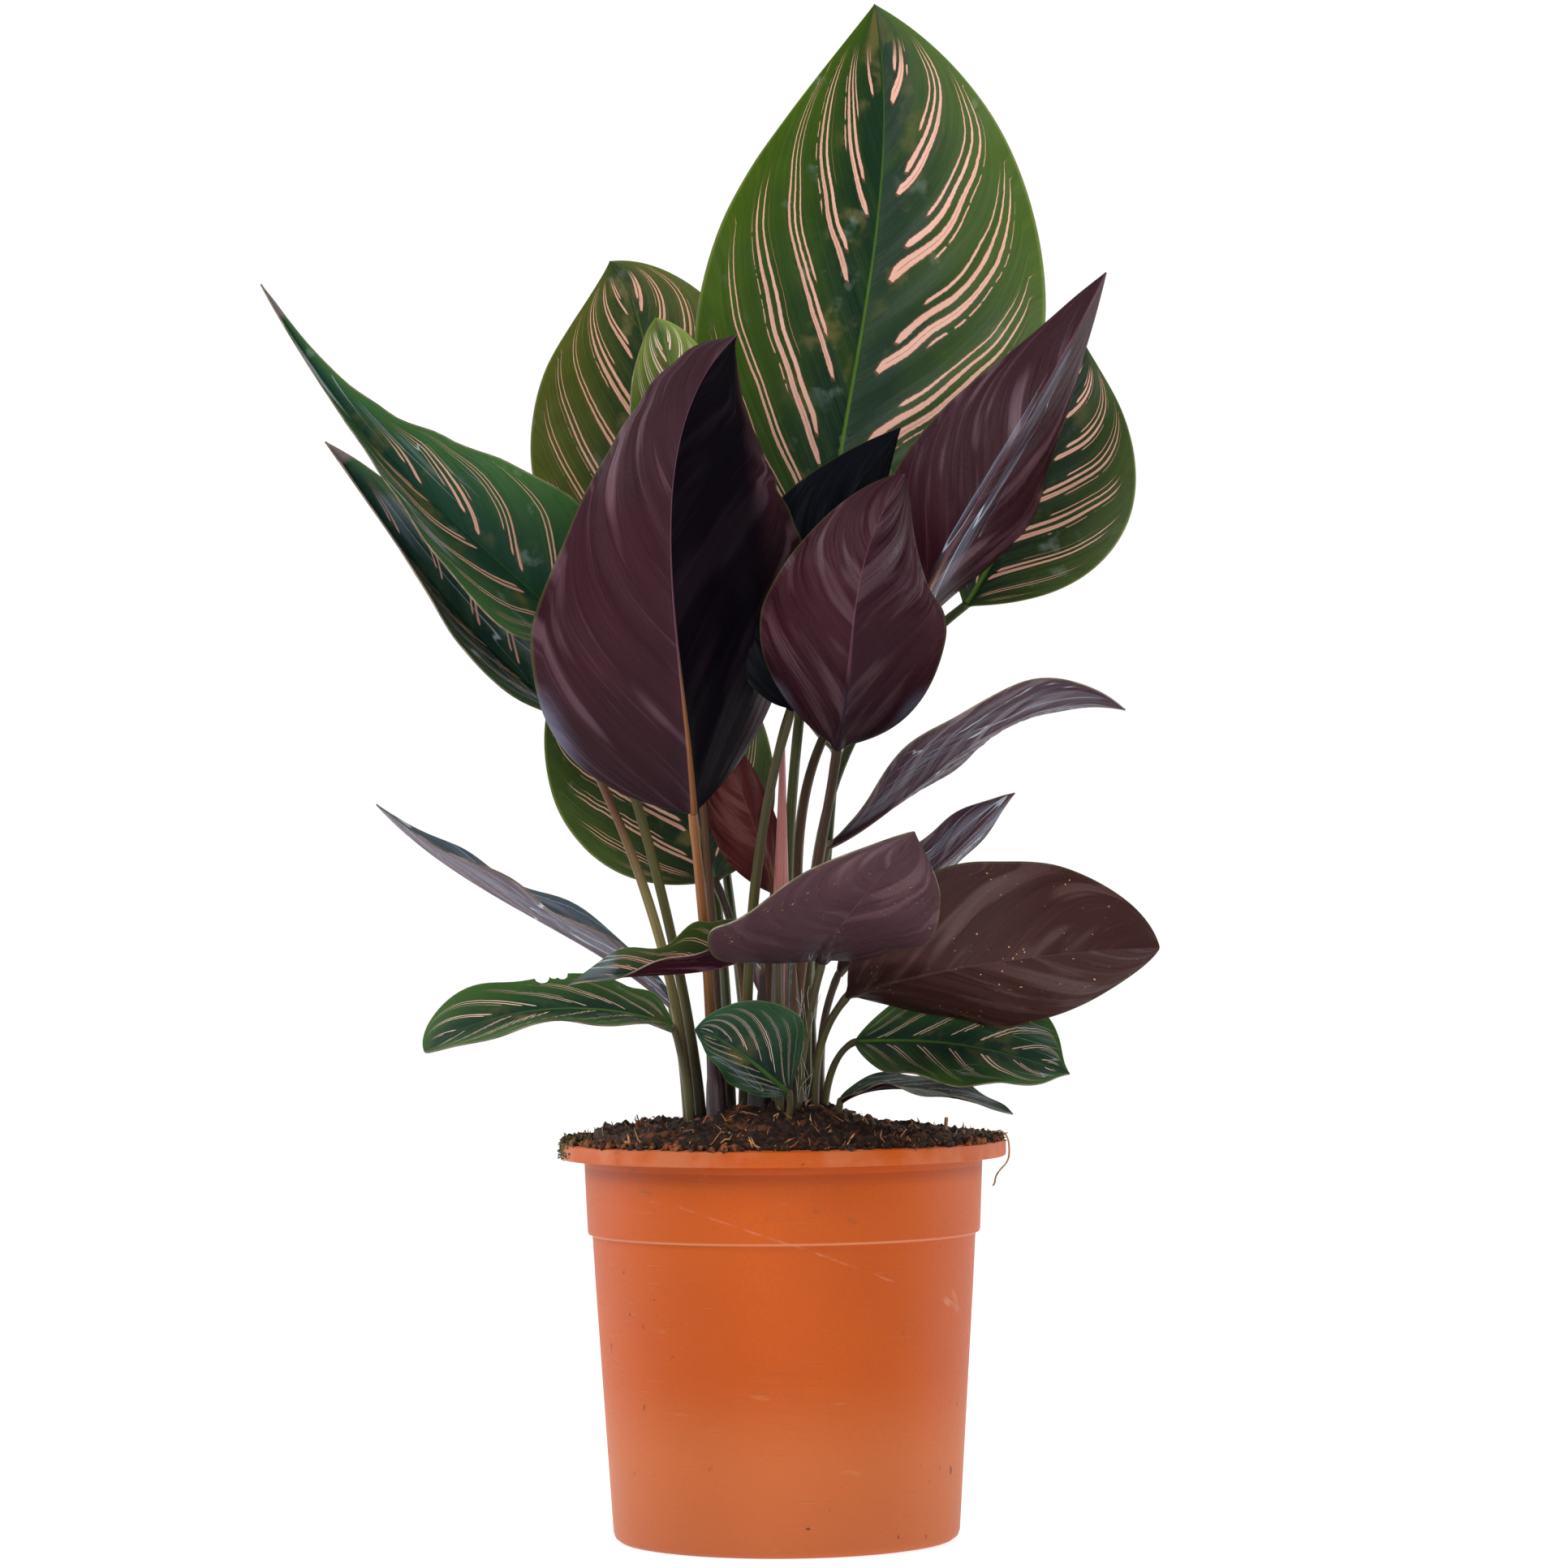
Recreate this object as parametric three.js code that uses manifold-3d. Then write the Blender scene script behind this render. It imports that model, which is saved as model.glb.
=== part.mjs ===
// A potted calathea: long-stalked striped leaves standing in a round plastic nursery pot.
// Millimetres, +Z up. The origin is the middle of the pot's underside, and the plant's
// best side looks towards -Y. Each leaf is a blade and a stalk; the stalks stand in holes
// in the soil, and a small gap is kept wherever two pieces meet.
import * as THREE from "three";
import { mergeVertices } from "three/addons/utils/BufferGeometryUtils.js";
import Module from "manifold-3d";

const manifold = await Module();
manifold.setup();

// ---- driving dimensions ----
const GAP = 0.35; // kept between two pieces that touch

const POT_HEIGHT = 125;
const RIM_RADIUS = 70;
const RIM_SKIRT = 5; // height of the rim's outer band
const RIM_WALL = 1.6;
const WALL = 1.5;
const BAND_TOP_RADIUS = 62.9; // the upper band, just under the rim
const BAND_FOOT_RADIUS = 61.6;
const STEP_HEIGHT = 96; // where the band steps in to the tapered body
const BODY_TOP_RADIUS = 60.2;
const BODY_FOOT_RADIUS = 54.4;
const FLOOR_TOP = 4.1;
const RECESS_DEPTH = 2.5; // the ring under the floor that holds the drain holes
const PAD_RADIUS = 16;
const FOOT_RING_INNER = 44;
const FOOT_RING_OUTER = 51;
const DRAIN_HOLES = 8;
const DRAIN_RADIUS = 4;
const DRAIN_CIRCLE = 31;
const ROUND_SEGMENTS = 44; // of the pot and of the soil in it

const SOIL_CROWN = 134; // height of the heaped soil in the middle
const LUMP_HEIGHT = 1.1;

const LEAF_THICKNESS = 0.7;
const RIB_HALF_WIDTH = 1.3; // half-width of the bare midrib at the blade's two ends
const RIB_BLEND = 2; // from the midrib, how far its mean slope fades into each half's own
const LEAF_CURL = THREE.MathUtils.degToRad(12); // how much each half keeps bending upwards
const BLADE_ROWS = 12;
const HALF_COLUMNS = 3;
const STALK_SIDES = 6;
const STALK_STEPS = 7;
const STALK_FOOT = 113; // the stalks reach down to this height, inside the soil
const NECK_RADIUS = 0.7; // a stalk narrows to this where the blade sits on it
const MOST_NECK_GAP = 1.1;

// ---- the leaves ----
// rib: four points on the midrib, at the base, one third, two thirds and the tip
// face: where the upper side looks, at the base and at the tip
// half: width of the two halves; lift: degrees by which each half rises out of the flat,
//   first at the base and then, as liftTip, at the tip
// widest: where along the blade it is widest; round: below 0.75 gives a fuller, rounder base
// foot: where its stalk stands in the soil; bend: two points on the stalk
// stalk: radius of the stalk at the soil and at the blade
const TOWARDS_VIEWER = [0, -1, 0.2];
const AWAY = [0, 1, 0.1];
const LEAVES = [
  {
    name: "top",
    rib: [[15, 18, 306], [24, 24, 363], [34, 34, 427], [33, 50, 491]],
    face: [TOWARDS_VIEWER, [0, -1, 0.3]],
    half: [54, 60],
    lift: [8, 8],
    foot: [0, 8],
    bend: [[1, 8, 180], [5, 10, 246]],
    stalk: [2.4, 1.9],
  },
  {
    name: "back_left",
    rib: [[-50, 45, 298], [-41, 42, 334], [-42, 48, 377], [-54, 58, 409]],
    face: [TOWARDS_VIEWER, TOWARDS_VIEWER],
    half: [40, 38],
    lift: [6, -4],
    foot: [-16, 13],
    bend: [[-18, 20, 172], [-26, 42, 229]],
    stalk: [2.3, 1.8],
  },
  {
    name: "young_left",
    rib: [[-28, 8, 321], [-30, 4, 344], [-33, 2, 367], [-38, 6, 385]],
    face: [TOWARDS_VIEWER, TOWARDS_VIEWER],
    half: [17, 17],
    lift: [20, 20],
    foot: [-19, 5],
    bend: [[-21, 4, 177], [-25, 4, 247]],
    stalk: [2.1, 1.6],
  },
  {
    name: "wing_left",
    rib: [[-63, 5, 282], [-86, 0, 306], [-121, -8, 340], [-162, -2, 396]],
    face: [TOWARDS_VIEWER, TOWARDS_VIEWER],
    half: [30, 30],
    lift: [50, 20],
    liftTip: [60, 35],
    widest: 0.37,
    foot: [-25, 3],
    bend: [[-31, 3, 171], [-45, 1, 231]],
    stalk: [2.3, 1.8],
  },
  {
    name: "front_left",
    rib: [[-27, -32, 228], [-31, -56, 280], [-31, -62, 332], [-12, -38, 375]],
    face: [[-0.36, 0.93, 0], [0.11, 0.99, 0.2]],
    half: [50, 52],
    lift: [45, 36],
    widest: 0.3,
    round: 0.45,
    foot: [-22, -7],
    bend: [[-22, -9, 155], [-24, -18, 193]],
    stalk: [2.4, 1.9],
  },
  {
    name: "under_wing_left",
    rib: [[-67, 14, 260], [-91, 14, 281], [-116, 14, 310], [-143, 8, 347]],
    face: [TOWARDS_VIEWER, TOWARDS_VIEWER],
    half: [18, 26],
    lift: [55, 20],
    liftTip: [80, 30],
    foot: [-29, -3],
    bend: [[-32, -4, 165], [-43, -4, 212]],
    stalk: [2.3, 1.7],
  },
  {
    name: "low_left",
    rib: [[-21, 10, 207], [-30, 26, 236], [-39, 36, 268], [-45, 32, 302]],
    face: [TOWARDS_VIEWER, TOWARDS_VIEWER],
    half: [42, 30],
    lift: [2, 2],
    round: 0.45,
    foot: [-11, 7],
    bend: [[-11, 7, 149], [-13, 7, 180]],
    stalk: [2.1, 1.7],
  },
  {
    name: "young_red",
    rib: [[-2, 2, 203], [-7, 2, 221], [-14, 3, 240], [-20, 5, 262]],
    face: [AWAY, AWAY],
    half: [8, 15],
    lift: [20, 20],
    foot: [-6, 2],
    bend: [[-5, 2, 157], [-4, 2, 180]],
    stalk: [2.1, 1.8],
  },
  {
    name: "middle",
    rib: [[18, -28, 248], [22, -52, 276], [26, -58, 302], [39, -46, 331]],
    face: [AWAY, AWAY],
    half: [34, 33],
    lift: [25, 25],
    widest: 0.33,
    round: 0.35,
    foot: [2, 0],
    bend: [[4, -1, 162], [11, -8, 208]],
    stalk: [2.4, 1.9],
  },
  {
    name: "shade",
    rib: [[4, -13, 261], [6.5, -28, 286], [16, -22.5, 314], [39, -1, 349]],
    face: [[-0.4, 0.9, 0], [-0.3, 0.9, 0]],
    half: [24, 24],
    lift: [8, 0],
    foot: [-13, -1],
    bend: [[-11, -2, 165], [-7, -6, 213]],
    stalk: [2.3, 1.9],
  },
  {
    name: "wing_right",
    rib: [[38, -8, 279], [55, -30, 312], [78, -34, 350], [103, -22, 395]],
    face: [[-0.28, 0.96, 0], [-0.28, 0.96, 0]],
    half: [33, 33],
    lift: [44, 44],
    foot: [5, 13],
    bend: [[6, 15, 175], [8, 16, 234]],
    stalk: [2.3, 1.9],
  },
  {
    name: "back_right",
    rib: [[59, 4, 293], [75, 2, 320], [88, 2, 348], [98, 8, 376]],
    face: [TOWARDS_VIEWER, TOWARDS_VIEWER],
    half: [30, 34],
    lift: [-5, 8],
    widest: 0.45,
    round: 1,
    foot: [9, 17],
    bend: [[9, 21, 172], [17, 22, 236]],
    stalk: [2.2, 1.8],
  },
  {
    name: "arm_right",
    rib: [[15, 0, 218], [43, -12, 236], [73, -18, 256], [108, -16, 259]],
    face: [[-0.47, 0.24, 0.84], [-0.2, 0.24, 0.95]],
    half: [24, 24],
    lift: [6, 6],
    widest: 0.55,
    round: 1.3,
    foot: [8, 5],
    bend: [[8, 4, 162], [10, 3, 193]],
    stalk: [1.9, 1.6],
  },
  {
    name: "small_right",
    rib: [[18, 12, 177], [38, 16, 198], [57, 20, 217], [75, 26, 234]],
    face: [[-0.5, 0.6, 0.6], [-0.5, 0.6, 0.6]],
    half: [14, 14],
    lift: [10, 10],
    foot: [13, 11],
    bend: [[12, 12, 141], [13, 12, 160]],
    stalk: [1.7, 1.5],
  },
  {
    name: "front_low",
    rib: [[13, -14, 182], [18, -50, 193], [29, -80, 207], [40, -92, 221]],
    face: [[-0.1, 0.5, 0.86], [-0.1, 0.5, 0.86]],
    half: [26, 44],
    lift: [-20, -10],
    liftTip: [-20, -26],
    foot: [3, -11],
    bend: [[5, -10, 142], [8, -10, 162]],
    stalk: [1.9, 1.6],
  },
  {
    name: "tail_left",
    rib: [[-1, -13, 190], [-21, -27, 180], [-43, -35, 178], [-66, -32, 175]],
    face: [[0, 0, 1], [0, 0, 1]],
    half: [15, 14],
    lift: [60, 75],
    liftTip: [-15, 75],
    widest: 0.4,
    foot: [-2, -12],
    bend: [[-1, -13.5, 139], [-1, -13, 164]],
    stalk: [1.8, 1.5],
  },
  {
    name: "low_right",
    rib: [[21, -12, 171], [47, -38, 178], [80, -48, 183], [116, -42, 185]],
    face: [[0, 0.95, 0.3], [0, 0.95, 0.3]],
    half: [32, 34],
    lift: [25, 35],
    widest: 0.48,
    round: 0.5,
    foot: [10, -6],
    bend: [[10, -7, 141], [13, -8, 158]],
    stalk: [1.8, 1.6],
  },
  {
    name: "skirt_right",
    rib: [[23, -4, 156], [46, -14, 156], [66, -22, 153], [89, -26, 146]],
    face: [[0.1, -0.7, 0.7], [0.1, -0.7, 0.7]],
    half: [25, 22],
    lift: [5, 5],
    foot: [14, -1],
    bend: [[13, -1, 133], [16, -2, 148]],
    stalk: [1.5, 1.3],
  },
  {
    name: "hem_right",
    rib: [[18, -12, 138], [33, -16, 142], [52, -24, 140], [71, -32, 134]],
    face: [[0, -0.2, 1], [0, -0.2, 1]],
    half: [12, 12],
    lift: [5, 5],
    foot: [15, -9],
    bend: [[15, -10, 123], [16, -11, 128]],
    stalk: [1.4, 1.2],
  },
  {
    name: "skirt_left",
    rib: [[-34, -8, 161], [-56, -18, 167], [-84, -30, 166], [-110, -38, 155]],
    face: [[0, -0.2, 1], [0, -0.2, 1]],
    half: [18, 16],
    lift: [-8, 36],
    widest: 0.55,
    foot: [-30, -10],
    bend: [[-29, -10, 132], [-31, -9, 149]],
    stalk: [1.6, 1.4],
  },
  {
    name: "narrow_left",
    rib: [[-35, 10, 168], [-64, 10, 188], [-97, 10, 207], [-128, 12, 232]],
    face: [[0.56, 0, 0.83], [0.56, 0, 0.83]],
    half: [13, 12],
    lift: [22, 38],
    foot: [-31, 10],
    bend: [[-29, 11, 134], [-32, 11, 152]],
    stalk: [1.6, 1.4],
  },
  {
    name: "small_front",
    rib: [[2, -20, 141], [-6, -28, 148], [-16, -34, 156], [-27, -38, 161]],
    face: [[0, -0.9, 0.3], [0, -0.9, 0.3]],
    half: [10, 20],
    lift: [-45, 5],
    foot: [-4, -19],
    bend: [[0, -19, 126], [2, -19, 134]],
    stalk: [1.4, 1.2],
  },
  {
    name: "rear_right",
    rib: [[18, 35, 248], [22, 65, 275], [26, 92, 290], [30, 118, 285]],
    face: [[0, -0.3, 1], [0, 0.3, 1]],
    half: [22, 22],
    lift: [10, 10],
    foot: [3, 19],
    bend: [[9, 25, 160], [14, 29, 205]],
    stalk: [2.1, 1.7],
  },
  {
    name: "rear_left",
    rib: [[-22, 52, 242], [-36, 78, 268], [-48, 102, 280], [-58, 126, 272]],
    face: [[0, -0.3, 1], [0, 0.3, 1]],
    half: [24, 24],
    lift: [10, 10],
    foot: [-9, 18],
    bend: [[-12, 30, 160], [-17, 42, 205]],
    stalk: [2.1, 1.7],
  },
  {
    name: "rear_low",
    rib: [[0, 34, 172], [1, 62, 182], [0, 90, 176], [-1, 114, 158]],
    face: [[0, -0.1, 1], [0, 0.5, 1]],
    half: [15, 15],
    lift: [10, 10],
    foot: [-4, 21],
    bend: [[-3, 24, 142], [-1, 28, 158]],
    stalk: [1.7, 1.5],
  },
];

// ---- the rolled young leaf and the old sheaths: upright pieces that taper to a point ----
// path: four points from the soil up; radii: at those four points
const SPEAR = {
  name: "spear",
  path: [[-2, -5, STALK_FOOT], [-1, -5, 160], [0, -5, 205], [1, -5, 252]],
  radii: [2.3, 2.4, 2.3, 0.7],
};
const SHEATHS = [
  {
    name: "sheath_left",
    path: [[-21, -13.5, STALK_FOOT], [-21, -13.5, 128], [-21.5, -13, 143], [-22, -13, 157]],
    radii: [3.1, 3.1, 2.4, 0.6],
  },
  {
    name: "sheath_middle",
    path: [[-8.5, -7.5, STALK_FOOT], [-8, -7.5, 135], [-7, -7.5, 157], [-6, -7.5, 180]],
    radii: [3.6, 3.4, 2.6, 0.7],
  },
  {
    name: "sheath_right",
    path: [[4, -5.5, STALK_FOOT], [4.2, -5.5, 135], [4.2, -5.5, 157], [4, -5.5, 180]],
    radii: [2.5, 2.5, 2.1, 0.6],
  },
];

// ---- helpers ----
const v = (p) => new THREE.Vector3(p[0], p[1], p[2]);

// The smooth curve that passes through four points, at 0, 1/3, 2/3 and 1 of its run.
function curveThrough(points) {
  const [a, b, c, d] = points.map(v);
  const mix = (ka, kb, kc, kd) =>
    new THREE.Vector3()
      .addScaledVector(a, ka)
      .addScaledVector(b, kb)
      .addScaledVector(c, kc)
      .addScaledVector(d, kd);
  return new THREE.CubicBezierCurve3(a, mix(-5 / 6, 3, -1.5, 1 / 3), mix(1 / 3, -1.5, 3, -5 / 6), d);
}

// Collects corner points and outward-facing quads and triangles into one mesh geometry.
class Shell {
  corners = [];
  faces = [];

  corner(point) {
    this.corners.push(point.x, point.y, point.z);
    return this.corners.length / 3 - 1;
  }

  quad(a, b, c, d) {
    this.faces.push(a, b, c, a, c, d);
  }

  geometry() {
    const geometry = new THREE.BufferGeometry();
    geometry.setAttribute("position", new THREE.Float32BufferAttribute(this.corners, 3));
    geometry.setIndex(this.faces);
    geometry.computeVertexNormals();
    return geometry;
  }
}

// A closed tube along a curve, with a radius for each step of the way.
function tube(curve, radii, sides) {
  const shell = new Shell();
  const depth = new THREE.Vector3(0, 1, 0);
  const steps = radii.length - 1;
  const rings = radii.map((radius, i) => {
    const along = curve.getTangent(i / steps);
    const across = new THREE.Vector3().crossVectors(along, depth).normalize();
    const rise = new THREE.Vector3().crossVectors(along, across);
    const middle = curve.getPoint(i / steps);
    return Array.from({ length: sides }, (_, k) => {
      const turn = (2 * Math.PI * k) / sides;
      const out = across.clone().multiplyScalar(Math.cos(turn)).addScaledVector(rise, Math.sin(turn));
      return shell.corner(middle.clone().addScaledVector(out, radius));
    });
  });
  for (let i = 0; i < steps; i++) {
    for (let k = 0; k < sides; k++) {
      const next = (k + 1) % sides;
      shell.quad(rings[i][k], rings[i][next], rings[i + 1][next], rings[i + 1][k]);
    }
  }
  for (let k = 1; k < sides - 1; k++) {
    shell.faces.push(rings[0][0], rings[0][k + 1], rings[0][k]);
    shell.faces.push(rings[steps][0], rings[steps][k], rings[steps][k + 1]);
  }
  return shell.geometry();
}

// Half-width of a blade at a fraction u of its length.
function halfWidth(u, width, widest, round) {
  const taper = (round * (1 - widest)) / widest;
  const body = width * (u / widest) ** round * ((1 - u) / (1 - widest)) ** taper;
  const rib = RIB_HALF_WIDTH * THREE.MathUtils.clamp((1 - u) / 0.06, 0.15, 1);
  return Math.hypot(body, rib);
}

// A leaf blade: two curved halves on either side of the midrib, with a gently waved edge.
// Both faces are split into triangles alike.
function blade(leaf) {
  const { widest = 0.43, round = 0.75, lift, liftTip = lift } = leaf;
  const curve = curveThrough(leaf.rib);
  const shell = new Shell();
  const columns = 2 * HALF_COLUMNS;
  const upper = [];
  const lower = [];
  for (let row = 0; row <= BLADE_ROWS; row++) {
    const u = (1 - Math.cos((Math.PI * row) / BLADE_ROWS)) / 2;
    const along = curve.getTangent(u);
    const face = v(leaf.face[0]).lerp(v(leaf.face[1]), u);
    face.addScaledVector(along, -face.dot(along)).normalize();
    const across = new THREE.Vector3().crossVectors(along, face);
    const middle = curve.getPoint(u);
    upper.push([]);
    lower.push([]);
    for (let column = 0; column <= columns; column++) {
      const side = column < HALF_COLUMNS ? -1 : 1;
      const half = side < 0 ? 0 : 1;
      const reach = Math.abs(column - HALF_COLUMNS) / HALF_COLUMNS;
      const start = THREE.MathUtils.degToRad(THREE.MathUtils.lerp(lift[half], liftTip[half], u));
      const end = start + LEAF_CURL * reach;
      const width = halfWidth(u, leaf.half[half], widest, round);
      const sideways = (width * (Math.sin(end) - Math.sin(start))) / LEAF_CURL;
      const rise = (width * (Math.cos(start) - Math.cos(end))) / LEAF_CURL;
      const point = middle.clone();
      point.addScaledVector(across, side * sideways);
      point.addScaledVector(face, rise + edgeWave(u, side) * reach ** 2);
      // the two faces stand off square to the surface, and near the midrib to its mean slope
      const settled = Math.min(1, (width * reach) / RIB_BLEND);
      const lean = THREE.MathUtils.lerp(ribLean(lift, liftTip, u), side * end, settled);
      const normal = face.clone().multiplyScalar(Math.cos(lean));
      normal.addScaledVector(across, -Math.sin(lean));
      upper[row].push(shell.corner(point.clone().addScaledVector(normal, LEAF_THICKNESS / 2)));
      lower[row].push(shell.corner(point.addScaledVector(normal, -LEAF_THICKNESS / 2)));
    }
  }
  for (let i = 0; i < BLADE_ROWS; i++) {
    for (let j = 0; j < columns; j++) {
      shell.quad(upper[i][j], upper[i][j + 1], upper[i + 1][j + 1], upper[i + 1][j]);
      shell.quad(lower[i][j], lower[i + 1][j], lower[i + 1][j + 1], lower[i][j + 1]);
    }
    shell.quad(upper[i][0], upper[i + 1][0], lower[i + 1][0], lower[i][0]);
    shell.quad(upper[i][columns], lower[i][columns], lower[i + 1][columns], upper[i + 1][columns]);
  }
  const tip = BLADE_ROWS;
  for (let j = 0; j < columns; j++) {
    shell.quad(upper[0][j], lower[0][j], lower[0][j + 1], upper[0][j + 1]);
    shell.quad(upper[tip][j], upper[tip][j + 1], lower[tip][j + 1], lower[tip][j]);
  }
  return shell.geometry();
}

// How far the edge rises and falls along the blade.
function edgeWave(u, side) {
  const WAVE_HEIGHT = 1.5;
  const WAVES = 2.5;
  const OFFSET = 0.3; // so that the two edges don't wave together
  return WAVE_HEIGHT * Math.sin(2 * Math.PI * (WAVES * u + OFFSET * side)) * Math.sin(Math.PI * u);
}

// The lean of the surface at the midrib, halfway between its two halves.
function ribLean(lift, liftTip, u) {
  const left = THREE.MathUtils.lerp(lift[0], liftTip[0], u);
  const right = THREE.MathUtils.lerp(lift[1], liftTip[1], u);
  return THREE.MathUtils.degToRad((right - left) / 2);
}

// How far short of the blade a stalk ends. Where the two run on in a line its neck clears the
// end of the blade, and where they meet at an angle it clears the underside.
function neckGap(bend) {
  const past = (GAP + NECK_RADIUS * Math.sin(bend)) / Math.cos(bend);
  const under = (GAP + LEAF_THICKNESS / 2 + NECK_RADIUS * Math.cos(bend)) / Math.sin(bend);
  return Math.min(past, under, MOST_NECK_GAP);
}

// A stalk, or with a larger radius the hole that it stands in.
function stalk(leaf, extra = 0) {
  const path = [[...leaf.foot, STALK_FOOT - extra], ...leaf.bend, leaf.rib[0]];
  const whole = curveThrough(path);
  const bend = whole.getTangent(1).angleTo(curveThrough(leaf.rib).getTangent(0));
  const pace = 3 * whole.v3.distanceTo(whole.v2); // length per unit of its run, at its end
  const reach = 1 - neckGap(Math.min(bend, 1.57)) / pace;
  const curve = new TrimmedCurve(whole, reach);
  const radii = [];
  for (let i = 0; i <= STALK_STEPS; i++) {
    radii.push(THREE.MathUtils.lerp(leaf.stalk[0], leaf.stalk[1], i / STALK_STEPS) + extra);
  }
  if (extra === 0) {
    radii[STALK_STEPS] = NECK_RADIUS;
  }
  return tube(curve, radii, STALK_SIDES);
}

// A curve cut off at a fraction of its run.
class TrimmedCurve extends THREE.Curve {
  constructor(whole, reach) {
    super();
    this.whole = whole;
    this.reach = reach;
  }

  getPoint(t) {
    return this.whole.getPoint(t * this.reach);
  }
}

// An upright pointed piece, or with a larger radius the hole that it stands in.
function spike({ path, radii }, extra = 0) {
  const steps = 6;
  const start = [path[0][0], path[0][1], path[0][2] - extra];
  const stops = [];
  for (let i = 0; i <= steps; i++) {
    const t = (3 * i) / steps;
    const low = Math.min(Math.floor(t), 2);
    stops.push(THREE.MathUtils.lerp(radii[low], radii[low + 1], t - low) + extra);
  }
  return tube(curveThrough([start, ...path.slice(1)]), stops, 8);
}

// A profile of [radius, height] points turned round the upright axis.
function turned(profile, segments) {
  const points = profile.map(([radius, height]) => new THREE.Vector2(radius, height));
  return new THREE.LatheGeometry(points, segments).rotateX(Math.PI / 2);
}

// A closed mesh as a solid that can be cut, without the slivers a lathe leaves on its axis.
function solid(geometry) {
  const bare = geometry.clone();
  bare.deleteAttribute("normal");
  bare.deleteAttribute("uv");
  const merged = mergeVertices(bare, 1e-3);
  const index = Array.from(merged.index.array);
  const faces = [];
  for (let i = 0; i < index.length; i += 3) {
    const [a, b, c] = index.slice(i, i + 3);
    if (a !== b && b !== c && c !== a) {
      faces.push(a, b, c);
    }
  }
  return new manifold.Manifold(
    new manifold.Mesh({
      numProp: 3,
      vertProperties: new Float32Array(merged.attributes.position.array),
      triVerts: new Uint32Array(faces),
    })
  );
}

function geometryOf(body) {
  const cut = body.getMesh();
  const geometry = new THREE.BufferGeometry();
  geometry.setAttribute("position", new THREE.Float32BufferAttribute(cut.vertProperties, 3));
  geometry.setIndex(Array.from(cut.triVerts));
  geometry.computeVertexNormals();
  return geometry;
}

// ---- the pot ----
const innerWall = [
  [BAND_TOP_RADIUS - WALL, POT_HEIGHT - 0.8],
  [BAND_FOOT_RADIUS - WALL, STEP_HEIGHT + 1.5],
  [BODY_TOP_RADIUS - WALL, STEP_HEIGHT - 1],
  [BODY_FOOT_RADIUS - WALL, FLOOR_TOP + 2],
  [BODY_FOOT_RADIUS - 3 * WALL, FLOOR_TOP],
];

function pot() {
  const underRim = POT_HEIGHT - RIM_WALL;
  const profile = [
    [0, 0],
    [PAD_RADIUS, 0],
    [PAD_RADIUS + 2, RECESS_DEPTH],
    [FOOT_RING_INNER - 2, RECESS_DEPTH],
    [FOOT_RING_INNER, 0],
    [FOOT_RING_OUTER, 0],
    [BODY_FOOT_RADIUS - 1.2, 0.8],
    [BODY_FOOT_RADIUS, 3],
    [BODY_TOP_RADIUS, STEP_HEIGHT],
    [BAND_FOOT_RADIUS, STEP_HEIGHT + 0.6],
    [BAND_TOP_RADIUS, underRim],
    [RIM_RADIUS - RIM_WALL, underRim],
    [RIM_RADIUS - RIM_WALL, POT_HEIGHT - RIM_SKIRT],
    [RIM_RADIUS, POT_HEIGHT - RIM_SKIRT],
    [RIM_RADIUS, POT_HEIGHT - 0.8],
    [RIM_RADIUS - 0.8, POT_HEIGHT],
    [BAND_TOP_RADIUS - WALL + 0.9, POT_HEIGHT],
    ...innerWall,
    [0, FLOOR_TOP],
  ];
  let body = solid(turned(profile, ROUND_SEGMENTS));
  for (let i = 0; i < DRAIN_HOLES; i++) {
    const turn = (2 * Math.PI * i) / DRAIN_HOLES;
    const drill = new THREE.CylinderGeometry(DRAIN_RADIUS, DRAIN_RADIUS, 4 * FLOOR_TOP, 12);
    drill.rotateX(Math.PI / 2);
    drill.translate(DRAIN_CIRCLE * Math.cos(turn), DRAIN_CIRCLE * Math.sin(turn), 0);
    body = body.subtract(solid(drill));
  }
  return geometryOf(body);
}

// ---- the soil: heaped in the middle, lumpy on top, with a hole for every stem ----
function lumps(x, y) {
  const broad = Math.sin(x / 7 + 1.3) * Math.cos(y / 6 - 0.4);
  const fine = Math.sin(x / 3.1 - y / 4.3) + Math.cos(x / 4.7 + y / 2.9);
  return LUMP_HEIGHT * (broad + 0.5 * fine);
}

function soil() {
  const heap = [
    [0, 0],
    [9, -0.2],
    [18, -1],
    [26, -2.8],
    [33, -4],
    [40, -4.6],
    [47, -5.2],
    [53, -6.4],
    [57.5, -8],
  ];
  const filling = innerWall.map(([radius, height]) => [radius - GAP, height + GAP]);
  const bottom = filling.at(-1)[1];
  const top = heap.map(([radius, drop]) => [radius, SOIL_CROWN + drop]);
  const profile = [[0, bottom], ...filling.reverse(), ...top.reverse()];
  const geometry = turned(profile, ROUND_SEGMENTS);
  const corners = geometry.attributes.position;
  for (let i = 0; i < corners.count; i++) {
    const height = corners.getZ(i);
    if (height > POT_HEIGHT) {
      corners.setZ(i, height + lumps(corners.getX(i), corners.getY(i)));
    }
  }
  let body = solid(geometry);
  for (const leaf of LEAVES) {
    body = body.subtract(solid(stalk(leaf, GAP)));
  }
  for (const piece of [SPEAR, ...SHEATHS]) {
    body = body.subtract(solid(spike(piece, GAP)));
  }
  const pieces = body.decompose();
  pieces.sort((a, b) => b.volume() - a.volume());
  return geometryOf(pieces[0]);
}

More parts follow.
